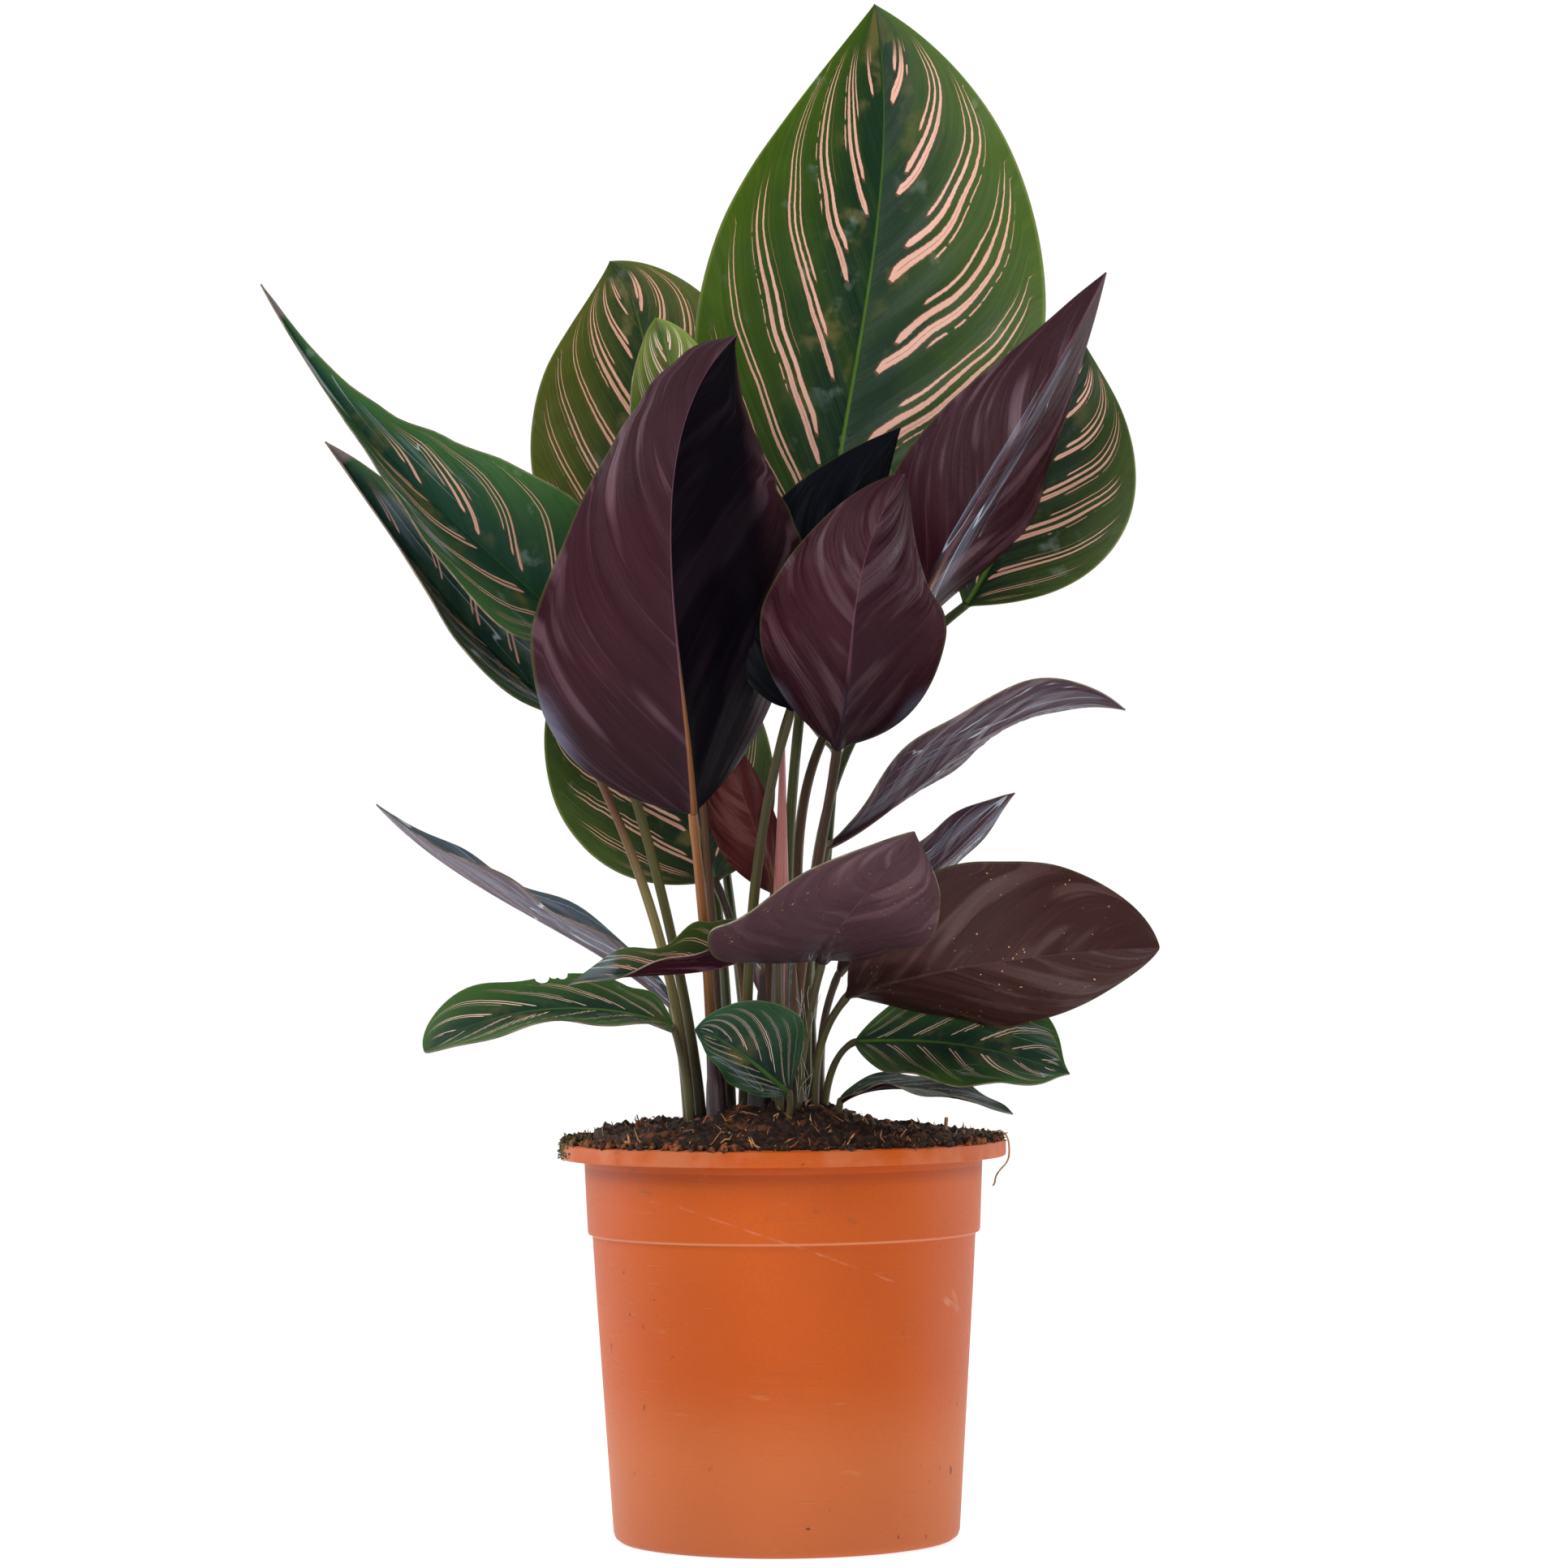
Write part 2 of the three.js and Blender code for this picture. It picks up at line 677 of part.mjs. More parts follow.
// ---- the plant in its pot ----
const finish = (color, roughness) => new THREE.MeshStandardMaterial({ color, roughness, metalness: 0 });
const potFinish = finish(0xc55e30, 0.55);
const soilFinish = finish(0x2b1c14, 0.95);
const leafFinish = finish(0x22451c, 0.4);
const stalkFinish = finish(0x5b5238, 0.5);
const spearFinish = finish(0xc98a86, 0.5);
const sheathFinish = finish(0x3a2226, 0.6);

const plant = new THREE.Group();

function add(name, geometry, material) {
  const mesh = new THREE.Mesh(geometry, material);
  mesh.name = name;
  plant.add(mesh);
}

add("pot", pot(), potFinish);
add("soil", soil(), soilFinish);
for (const leaf of LEAVES) {
  add(`${leaf.name}_blade`, blade(leaf), leafFinish);
  add(`${leaf.name}_stalk`, stalk(leaf), stalkFinish);
}
add(SPEAR.name, spike(SPEAR), spearFinish);
for (const sheath of SHEATHS) {
  add(sheath.name, spike(sheath), sheathFinish);
}

export default plant;
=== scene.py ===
# %% [markdown]
# # A potted calathea
# A calathea grown for its leaves: long stalks rise from the soil of a round nursery pot, and
# each carries one broad blade, dark green with paired pink stripes above and wine red below.
# The pot, the soil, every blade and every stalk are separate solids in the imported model, and
# each gets a finer piece here that keeps its form. All sizes are those of that model.

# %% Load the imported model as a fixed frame
import math

import bpy
import numpy as np
from mathutils import Matrix, Vector, noise


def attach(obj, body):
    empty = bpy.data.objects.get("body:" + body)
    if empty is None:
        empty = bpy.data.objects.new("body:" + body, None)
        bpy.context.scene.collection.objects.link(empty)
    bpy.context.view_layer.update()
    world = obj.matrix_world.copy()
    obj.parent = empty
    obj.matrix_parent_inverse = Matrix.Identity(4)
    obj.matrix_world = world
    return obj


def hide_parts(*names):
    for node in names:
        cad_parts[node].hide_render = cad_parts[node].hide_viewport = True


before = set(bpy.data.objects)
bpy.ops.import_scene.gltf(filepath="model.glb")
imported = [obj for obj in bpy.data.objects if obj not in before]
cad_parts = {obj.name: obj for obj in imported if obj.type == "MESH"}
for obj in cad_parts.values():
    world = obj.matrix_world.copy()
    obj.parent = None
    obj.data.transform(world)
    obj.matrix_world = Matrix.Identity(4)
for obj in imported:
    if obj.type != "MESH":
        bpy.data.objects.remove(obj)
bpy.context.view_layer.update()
MM = 0.001
print("nodes in the frame:", len(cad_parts))

# %% [markdown]
# ## The camera
# The photo is taken from far away with a long lens, a little above the rim of the pot and
# tipped slightly upwards. A camera can be aimed by eye or set from measurements. Its distance,
# lens and tilt were measured here, from the rim's ellipse and from where the pot stands.

# %% Set the camera where the photo was taken
CAMERA_PLACE = Vector((0.0013, -1.71185, 0.208))
TILT_UP = 0.017  # radians
ROLL = math.radians(0.53)
FOCAL_PIXELS = 6700
PHOTO_PIXELS = 1932

bpy.ops.object.camera_add()
camera = bpy.context.object
camera.name = "photo_camera"
camera.data.sensor_width = 36
camera.data.lens = FOCAL_PIXELS / PHOTO_PIXELS * camera.data.sensor_width
camera.matrix_world = (
    Matrix.Translation(CAMERA_PLACE)
    @ Matrix.Rotation(math.radians(90) + TILT_UP, 4, "X")
    @ Matrix.Rotation(-ROLL, 4, "Z")
)
bpy.context.scene.camera = camera
print("lens in millimetres:", round(camera.data.lens, 1))

# %% [markdown]
# ## A short way to write materials
# A material is a tree of nodes, and drawing it by hand is slow when a pattern takes fifty of
# them. Here a socket is wrapped in a small class, so that a pattern can be written as a sum:
# `a * 2 - 1` adds the two Math nodes and joins them. The nodes are the same as drawn by hand.

# %% Write node trees as sums
def paint(code):
    """The colour of a web code such as 2b1c14, as the shader's linear red, green and blue."""
    parts = [int(code[i : i + 2], 16) / 255 for i in (0, 2, 4)]
    return [p / 12.92 if p <= 0.04045 else ((p + 0.055) / 1.055) ** 2.4 for p in parts] + [1]


def join(tree, value, slot):
    """Puts a number or a colour in a socket, or joins a wire to it."""
    if isinstance(value, Wire):
        tree.links.new(value.socket, slot)
    else:
        slot.default_value = value


class Wire:
    """An output socket that sums can be written with."""

    def __init__(self, tree, socket):
        self.tree = tree
        self.socket = socket

    def work(self, operation, *others, clamp=False):
        node = self.tree.nodes.new("ShaderNodeMath")
        node.operation = operation
        node.use_clamp = clamp
        for slot, value in zip(node.inputs, (self, *others)):
            join(self.tree, value, slot)
        return Wire(self.tree, node.outputs[0])

    def __add__(self, other):
        return self.work("ADD", other)

    def __sub__(self, other):
        return self.work("SUBTRACT", other)

    def __mul__(self, other):
        return self.work("MULTIPLY", other)

    def __truediv__(self, other):
        return self.work("DIVIDE", other)

    __radd__, __rmul__ = __add__, __mul__

    def size(self):
        return self.work("ABSOLUTE")

    def whole(self):
        return self.work("FLOOR")

    def most(self, other):
        return self.work("MAXIMUM", other)

    def held(self):
        return self.work("ADD", 0.0, clamp=True)

    def flip(self):
        """One minus the value."""
        return self * -1 + 1

    def rise(self, low, high):
        """0 below low, 1 above high, and a smooth ramp between them."""
        node = self.tree.nodes.new("ShaderNodeMapRange")
        node.interpolation_type = "SMOOTHSTEP"
        for name, value in (("Value", self), ("From Min", low), ("From Max", high)):
            join(self.tree, value, node.inputs[name])
        return Wire(self.tree, node.outputs[0])


def blend(share, first, second):
    """The first colour where share is 0, the second where it is 1."""
    node = share.tree.nodes.new("ShaderNodeMix")
    node.data_type = "RGBA"
    for slot, value in zip((node.inputs[0], node.inputs[6], node.inputs[7]), (share, first, second)):
        join(share.tree, value, slot)
    return Wire(share.tree, node.outputs[2])


def vector(tree, x, y, z):
    node = tree.nodes.new("ShaderNodeCombineXYZ")
    for slot, value in zip(node.inputs, (x, y, z)):
        join(tree, value, slot)
    return Wire(tree, node.outputs[0])


def parts_of(wire):
    node = wire.tree.nodes.new("ShaderNodeSeparateXYZ")
    join(wire.tree, wire, node.inputs[0])
    return [Wire(wire.tree, output) for output in node.outputs]


def place_in(tree, kind):
    """Object or UV coordinates."""
    return Wire(tree, tree.nodes.new("ShaderNodeTexCoord").outputs[kind])


def own(tree, name):
    """A value stored on the piece's own points."""
    node = tree.nodes.new("ShaderNodeAttribute")
    node.attribute_name = name
    return Wire(tree, node.outputs["Fac"])


def clouds(where, size, detail=2.0, stretch=(1, 1, 1), turn=(0, 0, 0)):
    """Soft noise from 0 to 1, in lumps about as large as size."""
    tree = where.tree
    spread = tree.nodes.new("ShaderNodeMapping")
    spread.inputs["Rotation"].default_value = turn
    spread.inputs["Scale"].default_value = stretch
    join(tree, where, spread.inputs["Vector"])
    node = tree.nodes.new("ShaderNodeTexNoise")
    node.inputs["Scale"].default_value = 1 / size
    node.inputs["Detail"].default_value = detail
    tree.links.new(spread.outputs[0], node.inputs["Vector"])
    return Wire(tree, node.outputs["Fac"])


def chance(wire):
    """A throw of the dice, the same each time for the same number."""
    node = wire.tree.nodes.new("ShaderNodeTexWhiteNoise")
    node.noise_dimensions = "1D"
    join(wire.tree, wire, node.inputs["W"])
    return Wire(wire.tree, node.outputs["Value"])


def new_finish(name, **uniform):
    """A material, with the values that are the same all over set on the shader itself."""
    material = bpy.data.materials.new(name)
    material.use_nodes = True
    skin = material.node_tree.nodes["Principled BSDF"]
    for socket, value in uniform.items():
        skin.inputs[socket.replace("_", " ")].default_value = value
    return material, material.node_tree, skin


def set_relief(skin, height, depth):
    """Bumps the surface by a height from 0 to 1, which stands for depth in metres."""
    tree = height.tree
    bump = tree.nodes.new("ShaderNodeBump")
    bump.inputs["Distance"].default_value = depth
    tree.links.new(height.socket, bump.inputs["Height"])
    tree.links.new(bump.outputs[0], skin.inputs["Normal"])


def cover(colour, *layers):
    """Lays layers over a colour, one by one: how much of each shows, and its web code."""
    for share, code in layers:
        colour = blend(share, colour, paint(code))
    return colour


def wear(skin, colour, relief, depth, rough=None):
    """Gives a shader its colour and its relief, and its roughness where that varies."""
    join(colour.tree, colour, skin.inputs["Base Color"])
    if rough is not None:
        join(colour.tree, rough, skin.inputs["Roughness"])
    set_relief(skin, relief, depth)


print("the node sums are ready")

# %% [markdown]
# ## Small helpers for shapes
# Every piece starts as one of Blender's primitives, is shaped in edit mode, and ends with its
# object at the origin, so that its place is in its mesh. Operators act on all that is selected,
# so each step begins by selecting nothing.

# %% Helpers for shapes
def select_nothing():
    bpy.ops.object.select_all(action="DESELECT")


def select_only(piece):
    select_nothing()
    piece.select_set(True)
    bpy.context.view_layer.objects.active = piece


def settle(piece, name, replaces=(), smooth=35):
    """Names a finished piece, puts its place into its mesh and fixes it to the frame."""
    select_only(piece)
    bpy.ops.object.transform_apply(location=True, rotation=True, scale=True)
    bpy.ops.object.shade_smooth_by_angle(angle=math.radians(smooth))
    piece.name = piece.data.name = name
    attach(piece, "root")
    if replaces:
        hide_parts(*replaces)
    return piece


def use_modifier(piece, kind, **settings):
    """Adds a modifier and applies it."""
    select_only(piece)
    modifier = piece.modifiers.new(kind.lower(), kind)
    for key, value in settings.items():
        setattr(modifier, key, value)
    bpy.ops.object.modifier_apply(modifier=modifier.name)


def cut_away(piece, cutter):
    """Takes the shape of the cutter out of a piece, and then removes the cutter."""
    use_modifier(piece, "BOOLEAN", object=cutter, operation="DIFFERENCE", solver="EXACT")
    bpy.data.objects.remove(cutter)


def points_of(piece):
    places = np.empty(len(piece.data.vertices) * 3)
    piece.data.vertices.foreach_get("co", places)
    return places.reshape(-1, 3)


def move_points(piece, places):
    piece.data.vertices.foreach_set("co", np.asarray(places, float).ravel())
    piece.data.update()


def stacked_rings(profile, segments):
    """A closed round solid: a disc is extruded and resized from each ring to the next."""
    radius, height = profile[0]
    select_nothing()
    bpy.ops.mesh.primitive_circle_add(vertices=segments, radius=radius * MM, fill_type="NGON")
    bpy.ops.transform.translate(value=(0, 0, height * MM))
    bpy.ops.object.mode_set(mode="EDIT")
    bpy.ops.mesh.select_all(action="SELECT")
    for (r0, z0), (r1, z1) in zip(profile, profile[1:]):
        bpy.ops.mesh.extrude_region_move(TRANSFORM_OT_translate={"value": (0, 0, (z1 - z0) * MM)})
        bpy.ops.transform.resize(value=(r1 / r0, r1 / r0, 1), center_override=(0, 0, z1 * MM))
    bpy.ops.mesh.select_all(action="SELECT")
    bpy.ops.mesh.normals_make_consistent(inside=False)
    bpy.ops.object.mode_set(mode="OBJECT")
    return bpy.context.object


print("the shape helpers are ready")

# %% [markdown]
# ## The pot
# The real pot is blown or moulded in one thin wall, with a rolled rim, a straight band under it,
# a small step and a tapered body. It could be spun from a drawn profile. Here a disc is extruded
# ring by ring instead, because each line of the list is then one ring that can be changed alone.

# %% Model the pot
POT_RINGS = [
    (15.2, 0), (16, 0.15), (17.2, 1.9), (18.6, 2.5), (41.6, 2.5), (43, 1.9), (44, 0.15), (44.8, 0),
    (50.4, 0), (52.4, 0.35), (53.8, 1.4), (54.4, 3.0), (55.1, 14), (56.5, 36), (57.9, 58),
    (59.3, 80), (60.1, 94.6), (60.25, 95.8), (60.9, 96.2), (61.5, 96.5), (61.65, 97.2),
    (62.1, 108), (62.55, 119), (62.85, 123.2), (63.4, 123.4), (68.0, 123.4), (68.4, 123.1),
    (68.4, 120.3), (68.7, 120.02), (69.5, 120.0), (69.85, 120.2), (70, 120.7), (70, 124.0),
    (69.75, 124.7), (69.1, 125), (62.6, 125), (61.8, 124.7), (61.4, 124.1), (61.1, 119),
    (60.1, 98), (58.7, 94.6), (56.0, 50), (52.95, 6.4), (52.4, 5.0), (51.0, 4.2), (49, 4.1),
    (20, 4.1),
]
DRAIN_HOLES = 8
DRAIN_CIRCLE = 31 * MM

pot = stacked_rings(POT_RINGS, 160)
for hole in range(DRAIN_HOLES):
    turn = 2 * math.pi * hole / DRAIN_HOLES
    select_nothing()
    bpy.ops.mesh.primitive_cylinder_add(
        vertices=32,
        radius=4 * MM,
        depth=16 * MM,
        location=(DRAIN_CIRCLE * math.cos(turn), DRAIN_CIRCLE * math.sin(turn), 0),
    )
    cut_away(pot, bpy.context.object)
settle(pot, "pot_shell", ["pot"], smooth=40)
print("faces in the pot:", len(pot.data.polygons))

# %% [markdown]
# ## Terracotta plastic
# The plastic is one orange colour right through, so what makes it look used is on top of it:
# faint diagonal scratches, a chalky scuff, dust that dulls it in patches, and smears of wet soil
# below the rim. Noise stretched a hundredfold along one direction gives scratches.

# %% Paint the pot
SCRATCHES = [
    ((-33.2, 108.0), (8.4, 94.2), 0.16), ((8.4, 94.2), (35.2, 83.3), 0.14),
    ((48.7, 78.5), (57.0, 69.5), 0.9), ((52.0, 81.0), (54.5, 72.0), 0.35),
]


def scratch(x, height, start, end, half):
    """A line of that half width between two spots on the front of the pot, in millimetres."""
    (x0, z0), (x1, z1) = start, end
    length = math.hypot(x1 - x0, z1 - z0)
    ahead, up = (x1 - x0) / length, (z1 - z0) / length
    along = (x - x0) * ahead + (height - z0) * up
    beside = ((x - x0) * up - (height - z0) * ahead).size()
    inside = along.rise(0, 3) * along.rise(length - 3, length).flip()
    return beside.rise(half * 0.5, half).flip() * inside


def pot_finish():
    material, tree, skin = new_finish("terracotta_plastic", Specular_IOR_Level=0.22)
    place = place_in(tree, "Object")
    x, y, height = parts_of(place)
    tone = clouds(place, 0.05, 3)
    fine = clouds(place, 0.0011, 2)
    scratches = clouds(place, 0.02, 2, (1.0, 4, 85), (0, math.radians(38), 0)).rise(0.69, 0.75)
    lines = clouds(place, 0.03, 1, (1.2, 3, 130), (0, math.radians(31), 0)).rise(0.71, 0.74)
    marks = scratches.most(lines) * clouds(place, 0.03, 1).rise(0.42, 0.6)
    scuff = clouds(place, 0.018, 5, (1, 1, 3), (0, math.radians(40), 0)).rise(0.66, 0.75)
    specks = clouds(place, 0.0035, 3).rise(0.70, 0.73) * clouds(place, 0.03, 1).rise(0.5, 0.62)
    smears = clouds(place, 0.008, 4, (1, 1, 2.4)).rise(0.66, 0.74) * height.rise(0.085, 0.12)
    # painted shade: the left side and the right edge of the pot are made darker
    painted_side_shade = (x * -1).rise(0.0, 0.035) * 0.17 + x.rise(0.04, 0.06) * 0.10
    # pale patches on the rim
    pale_rim_patches = height.rise(0.1185, 0.1205) * clouds(place, 0.016, 3).rise(0.40, 0.62)
    step = ((height - 0.0962).size() * -1 + 0.0006).rise(0.0, 0.0005)
    tucked = height.rise(0.1125, 0.1172) * height.rise(0.1174, 0.1177).flip()
    colour = cover(
        blend(tone, paint("b64a08"), paint("c85a12")),
        (height.rise(0.0, 0.03).flip() * 0.25, "96401a"),
        (fine.rise(0.3, 0.8) * 0.10, "8c3a16"),
        (height.rise(0.026, 0.058).flip() * 0.26, "cf8a5e"),  # painted reflection of the pale floor in the gloss
        # painted shade on the two sides
        (painted_side_shade, "1c0a04"),
        (pale_rim_patches * 0.17, "d8a284"),
        (tucked * 0.45, "83300a"),  # the shade under the rim
        (marks * 0.2, "eab08a"),
        (scuff * 0.08, "e8c0a4"),
    )
    front = y.rise(-0.03, -0.02).flip()
    wobble = clouds(place, 0.006, 2) * 2.4 - 1.2
    patchy = clouds(place, 0.006, 3).rise(0.35, 0.7)
    for start, end, half in SCRATCHES:
        line = scratch(x * 1000 + wobble, height * 1000, start, end, half + 0.25)
        colour = blend(line * patchy * front * 0.16, colour, paint("f0cbb4"))
    colour = cover(colour, (step * 0.35, "edbf9c"), (smears * 0.5, "6d4a2c"), (specks * 0.75, "3c2416"))
    rough = tone * 0.16 + fine * 0.10 + scuff * 0.2 + 0.36
    wear(skin, colour, fine * 0.5 + tone * 1.2 - marks * 0.5, 0.00012, rough)
    return material


pot.data.materials.clear()
pot.data.materials.append(pot_finish())
print("the pot is painted")

# %% [markdown]
# ## The soil
# Potting peat is a heap of crumbs and fibres and has no smooth surface. A bumpy skin alone looks
# like a carpet from the side, so the heap is made in three layers: a lumpy mound, a couple of
# thousand loose crumbs pressed into it, and thin brown fibres that lie across and stand out.

# %% Model the mound
SOIL_CROWN = 134
SOIL_EDGE = 59.5  # the lumps stop just inside the wall of the pot
HEAP = [  # distances from the middle, and how far the heap lies below its crown there
    (0, 0), (10, -0.4), (17, -1.6), (22, -3.8), (27, -6.2), (34, -7.6), (44, -8.8), (58, -10.0),
]


def heap_height(radius):
    """Height of the smooth mound at a radius, both in millimetres."""
    radii, drops = zip(*HEAP)
    return SOIL_CROWN + np.interp(radius, radii, drops)


def lumpy(x, y):
    """Height of the soil with its lumps, in millimetres."""
    height = heap_height(math.hypot(x, y))
    height += 1.8 / (1 + math.exp((x + 22) / 7)) - 2.0  # the left side is heaped higher
    height += 1.2 * math.sin(x / 7 + 1.3) * math.cos(y / 6 - 0.4)  # broad waves
    height += 1.6 * noise.fractal(Vector((x, y, 0)) / 6, 0.6, 2.1, 5)  # clods
    height += 2.0 * abs(noise.noise(Vector((x, y, 9)) / 2.3))  # small lumps
    return height


below = [(50, 4.6), (52.5, 6.9), (55.5, 50), (58.2, 94), (59.6, 98.5), (60.5, 118), (60.6, 122)]
across = [(r, float(heap_height(r))) for r in np.arange(59.4, 0.9, -0.9)]
soil = stacked_rings(below + across, 260)
places = points_of(soil) / MM
for place in places:
    if math.hypot(place[0], place[1]) < SOIL_EDGE and place[2] > 110:
        place[2] = lumpy(place[0], place[1])
move_points(soil, places * MM)
settle(soil, "soil_mound", ["soil"], smooth=60)
print("faces in the mound:", len(soil.data.polygons))

# %% [markdown]
# ## Loose crumbs
# Crumbs of peat and bark of all sizes lie on the heap. A particle system could scatter them, but
# each would be the same ball. Here one ball is modelled, and a seeded draw makes every copy
# uneven, stretches it, turns it and sets it down, all in one mesh.

# %% Press loose crumbs into the mound
draw = np.random.default_rng(31)
CRUMBS = 2300
CRUMB_SIZES = [0.6, 1.0, 1.6, 2.4, 3.2]
CRUMB_SHARES = [0.3, 0.32, 0.24, 0.1, 0.04]


def bake_copies(name, copies, faces):
    """One mesh of many copies of a modelled shape: copies is a list of arrays of points."""
    count = len(copies[0])
    data = bpy.data.meshes.new(name)
    every = [tuple(i + count * k for i in face) for k in range(len(copies)) for face in faces]
    data.from_pydata(np.vstack(copies).tolist(), [], every)
    piece = bpy.data.objects.new(name, data)
    bpy.context.collection.objects.link(piece)
    return piece


def turned_at_random():
    turn = draw.normal(size=(3, 3))
    turn, _ = np.linalg.qr(turn)
    return turn * np.sign(np.linalg.det(turn))


select_nothing()
bpy.ops.mesh.primitive_ico_sphere_add(subdivisions=2, radius=1)
crumb = bpy.context.object
crumb_points = points_of(crumb)
crumb_faces = [tuple(face.vertices) for face in crumb.data.polygons]
bpy.data.objects.remove(crumb)


def one_crumb(x, y, z, size, uneven):
    """The points of a crumb at a place: the ball made uneven, stretched and turned."""
    shape = crumb_points * (1 + uneven * draw.normal(size=(len(crumb_points), 1)))
    shape = (shape * size * draw.uniform(0.6, 1.25, 3)) @ turned_at_random()
    return (shape + (x, y, z)) * MM


crumbs = []
while len(crumbs) < CRUMBS:
    radius = 60.2 * math.sqrt(draw.uniform())
    turn = draw.uniform(0, 2 * math.pi)
    x, y = radius * math.cos(turn), radius * math.sin(turn)
    size = draw.choice(CRUMB_SIZES, p=CRUMB_SHARES) * draw.uniform(0.7, 1.3)
    if radius + size > 60.4:  # it would stick through the wall of the pot
        continue
    crumbs.append(one_crumb(x, y, lumpy(x, y) + 0.35 * size, size, 0.21))
crumb_heap = bake_copies("crumbs", crumbs, crumb_faces)
settle(crumb_heap, "soil_crumbs", smooth=80)
print("loose crumbs:", len(crumbs))

# %% [markdown]
# ## Fibres
# Peat is full of thin root fibres, and the ones that stand out of the heap are what the eye reads
# as soil. They could be hair, but hair isn't a mesh that can be exported. So a thin tube is
# rolled from a grid once, and bent along many crooked paths over the heap.

# %% Lay fibres across the soil
FIBRES = 900


def rolled_sheet(rows, sides):
    """A flat grid and the place of each of its points: share of the way along, and round."""
    select_nothing()
    bpy.ops.mesh.primitive_grid_add(x_subdivisions=sides, y_subdivisions=rows, size=2)
    sheet = bpy.context.object
    flat = points_of(sheet)
    return sheet, (flat[:, 1] + 1) / 2, (flat[:, 0] + 1) / 2


def rolled_tube(path, radii, sides=12):
    """A closed tube: a grid is rolled round a path, and its seam and ends are merged."""
    rows = len(path) - 1
    sheet, along, around = rolled_sheet(rows, sides)
    path, radii = np.asarray(path, float), np.asarray(radii, float)
    ahead = np.gradient(path, axis=0)
    ahead[0] = ahead[1]
    ahead /= np.linalg.norm(ahead, axis=1, keepdims=True)
    guide = np.array([0.0, 1.0, 0.0]) if abs(ahead[:, 1]).max() < 0.9 else np.array([1.0, 0, 0])
    side = np.cross(ahead, guide)
    side /= np.linalg.norm(side, axis=1, keepdims=True)
    other = np.cross(side, ahead)
    row = np.rint(along * rows).astype(int)
    turn = 2 * np.pi * around
    if radii.ndim == 1:
        reach = radii[row, None]
    else:
        reach = radii[row, np.rint(around * sides).astype(int)][:, None]
    out = np.cos(turn)[:, None] * side[row] + np.sin(turn)[:, None] * other[row]
    move_points(sheet, (path[row] + out * reach) * MM)
    select_only(sheet)
    bpy.ops.object.mode_set(mode="EDIT")
    bpy.ops.mesh.select_all(action="SELECT")
    bpy.ops.mesh.remove_doubles(threshold=1e-6)
    bpy.ops.mesh.normals_make_consistent(inside=False)
    bpy.ops.object.mode_set(mode="OBJECT")
    return sheet


def bundle(name, paths, thickness, smooth=60):
    """Thin fibres of one thickness, modelled once as a straight tube and bent along each path."""
    steps = len(paths[0]) - 1
    thin = rolled_tube([(0, 0, i) for i in range(steps + 1)], [0.02] + [1] * (steps - 1) + [0.02], 5)
    flat = points_of(thin) / MM
    faces = [tuple(face.vertices) for face in thin.data.polygons]
    bpy.data.objects.remove(thin)
    row = np.rint(flat[:, 2]).astype(int)
    copies = []
    for path, radius in zip(paths, thickness):
        path = np.asarray(path, float)
        ahead = np.gradient(path, axis=0)
        ahead /= np.linalg.norm(ahead, axis=1, keepdims=True) + 1e-9
        guide = np.where(np.abs(ahead[:, 2:]) < 0.8, [[0, 0, 1.0]], [[1.0, 0, 0]])
        side = np.cross(ahead, guide)
        side /= np.linalg.norm(side, axis=1, keepdims=True)
        other = np.cross(ahead, side)
        spot = path[row] + radius * (flat[:, :1] * side[row] + flat[:, 1:2] * other[row])
        copies.append(spot * MM)
    return settle(bake_copies(name, copies, faces), name, smooth=smooth)


def wander_over_soil(x, y, length, heading, stand, steps=9):
    """A crooked path over the soil, whose far end stands clear of it by stand millimetres."""
    path = []
    for step in range(steps + 1):
        share = step / steps
        lift = 0.9 + stand * max(0, share - 0.45) ** 1.3 * 2
        path.append((x, y, lumpy(x, y) + lift + draw.normal() * 0.12))
        heading += draw.normal() * 0.45
        x += length / steps * math.cos(heading)
        y += length / steps * math.sin(heading)
        away = math.hypot(x, y)
        if away > 60:
            x, y = x * 60 / away, y * 60 / away
    return path


fibre_paths = []
for _ in range(FIBRES):
    radius, turn = 59 * math.sqrt(draw.uniform()), draw.uniform(0, 2 * math.pi)
    stand = draw.choice([0, 0.8, 2.5, 6], p=[0.25, 0.3, 0.3, 0.15])
    start = radius * math.cos(turn), radius * math.sin(turn)
    fibre_paths.append(wander_over_soil(*start, draw.uniform(6, 20), draw.uniform(0, 6.28), stand))
fibres = bundle("soil_fibres", fibre_paths, draw.uniform(0.10, 0.34, len(fibre_paths)))
print("fibres:", len(fibre_paths), "faces:", len(fibres.data.polygons))

# %% [markdown]
# ## Peat
# Wet peat is almost black, and dry crumbs and bark are warm brown. The mound and the crumbs share
# one finish whose colour is drawn by where a point lies, so a crumb differs from its neighbour.

# %% Paint the soil
def peat_finish(name, dark, warm, share):
    material, tree, skin = new_finish(name, Specular_IOR_Level=0.25)
    place = place_in(tree, "Object")
    crumbly = clouds(place, 0.0022, 4)
    patches = clouds(place, 0.012, 2)
    colour = cover(
        blend(crumbly.rise(0.40, 0.7), paint(dark), paint("452a1b")),
        ((crumbly * 0.6 + patches * 0.6).rise(share, share + 0.12), warm),
        (clouds(place, 0.0016, 3).rise(0.68, 0.74), "a8693a"),
    )
    wear(skin, colour, crumbly + clouds(place, 0.0007, 2) * 0.5, 0.0009, crumbly * 0.3 + 0.62)
    return material


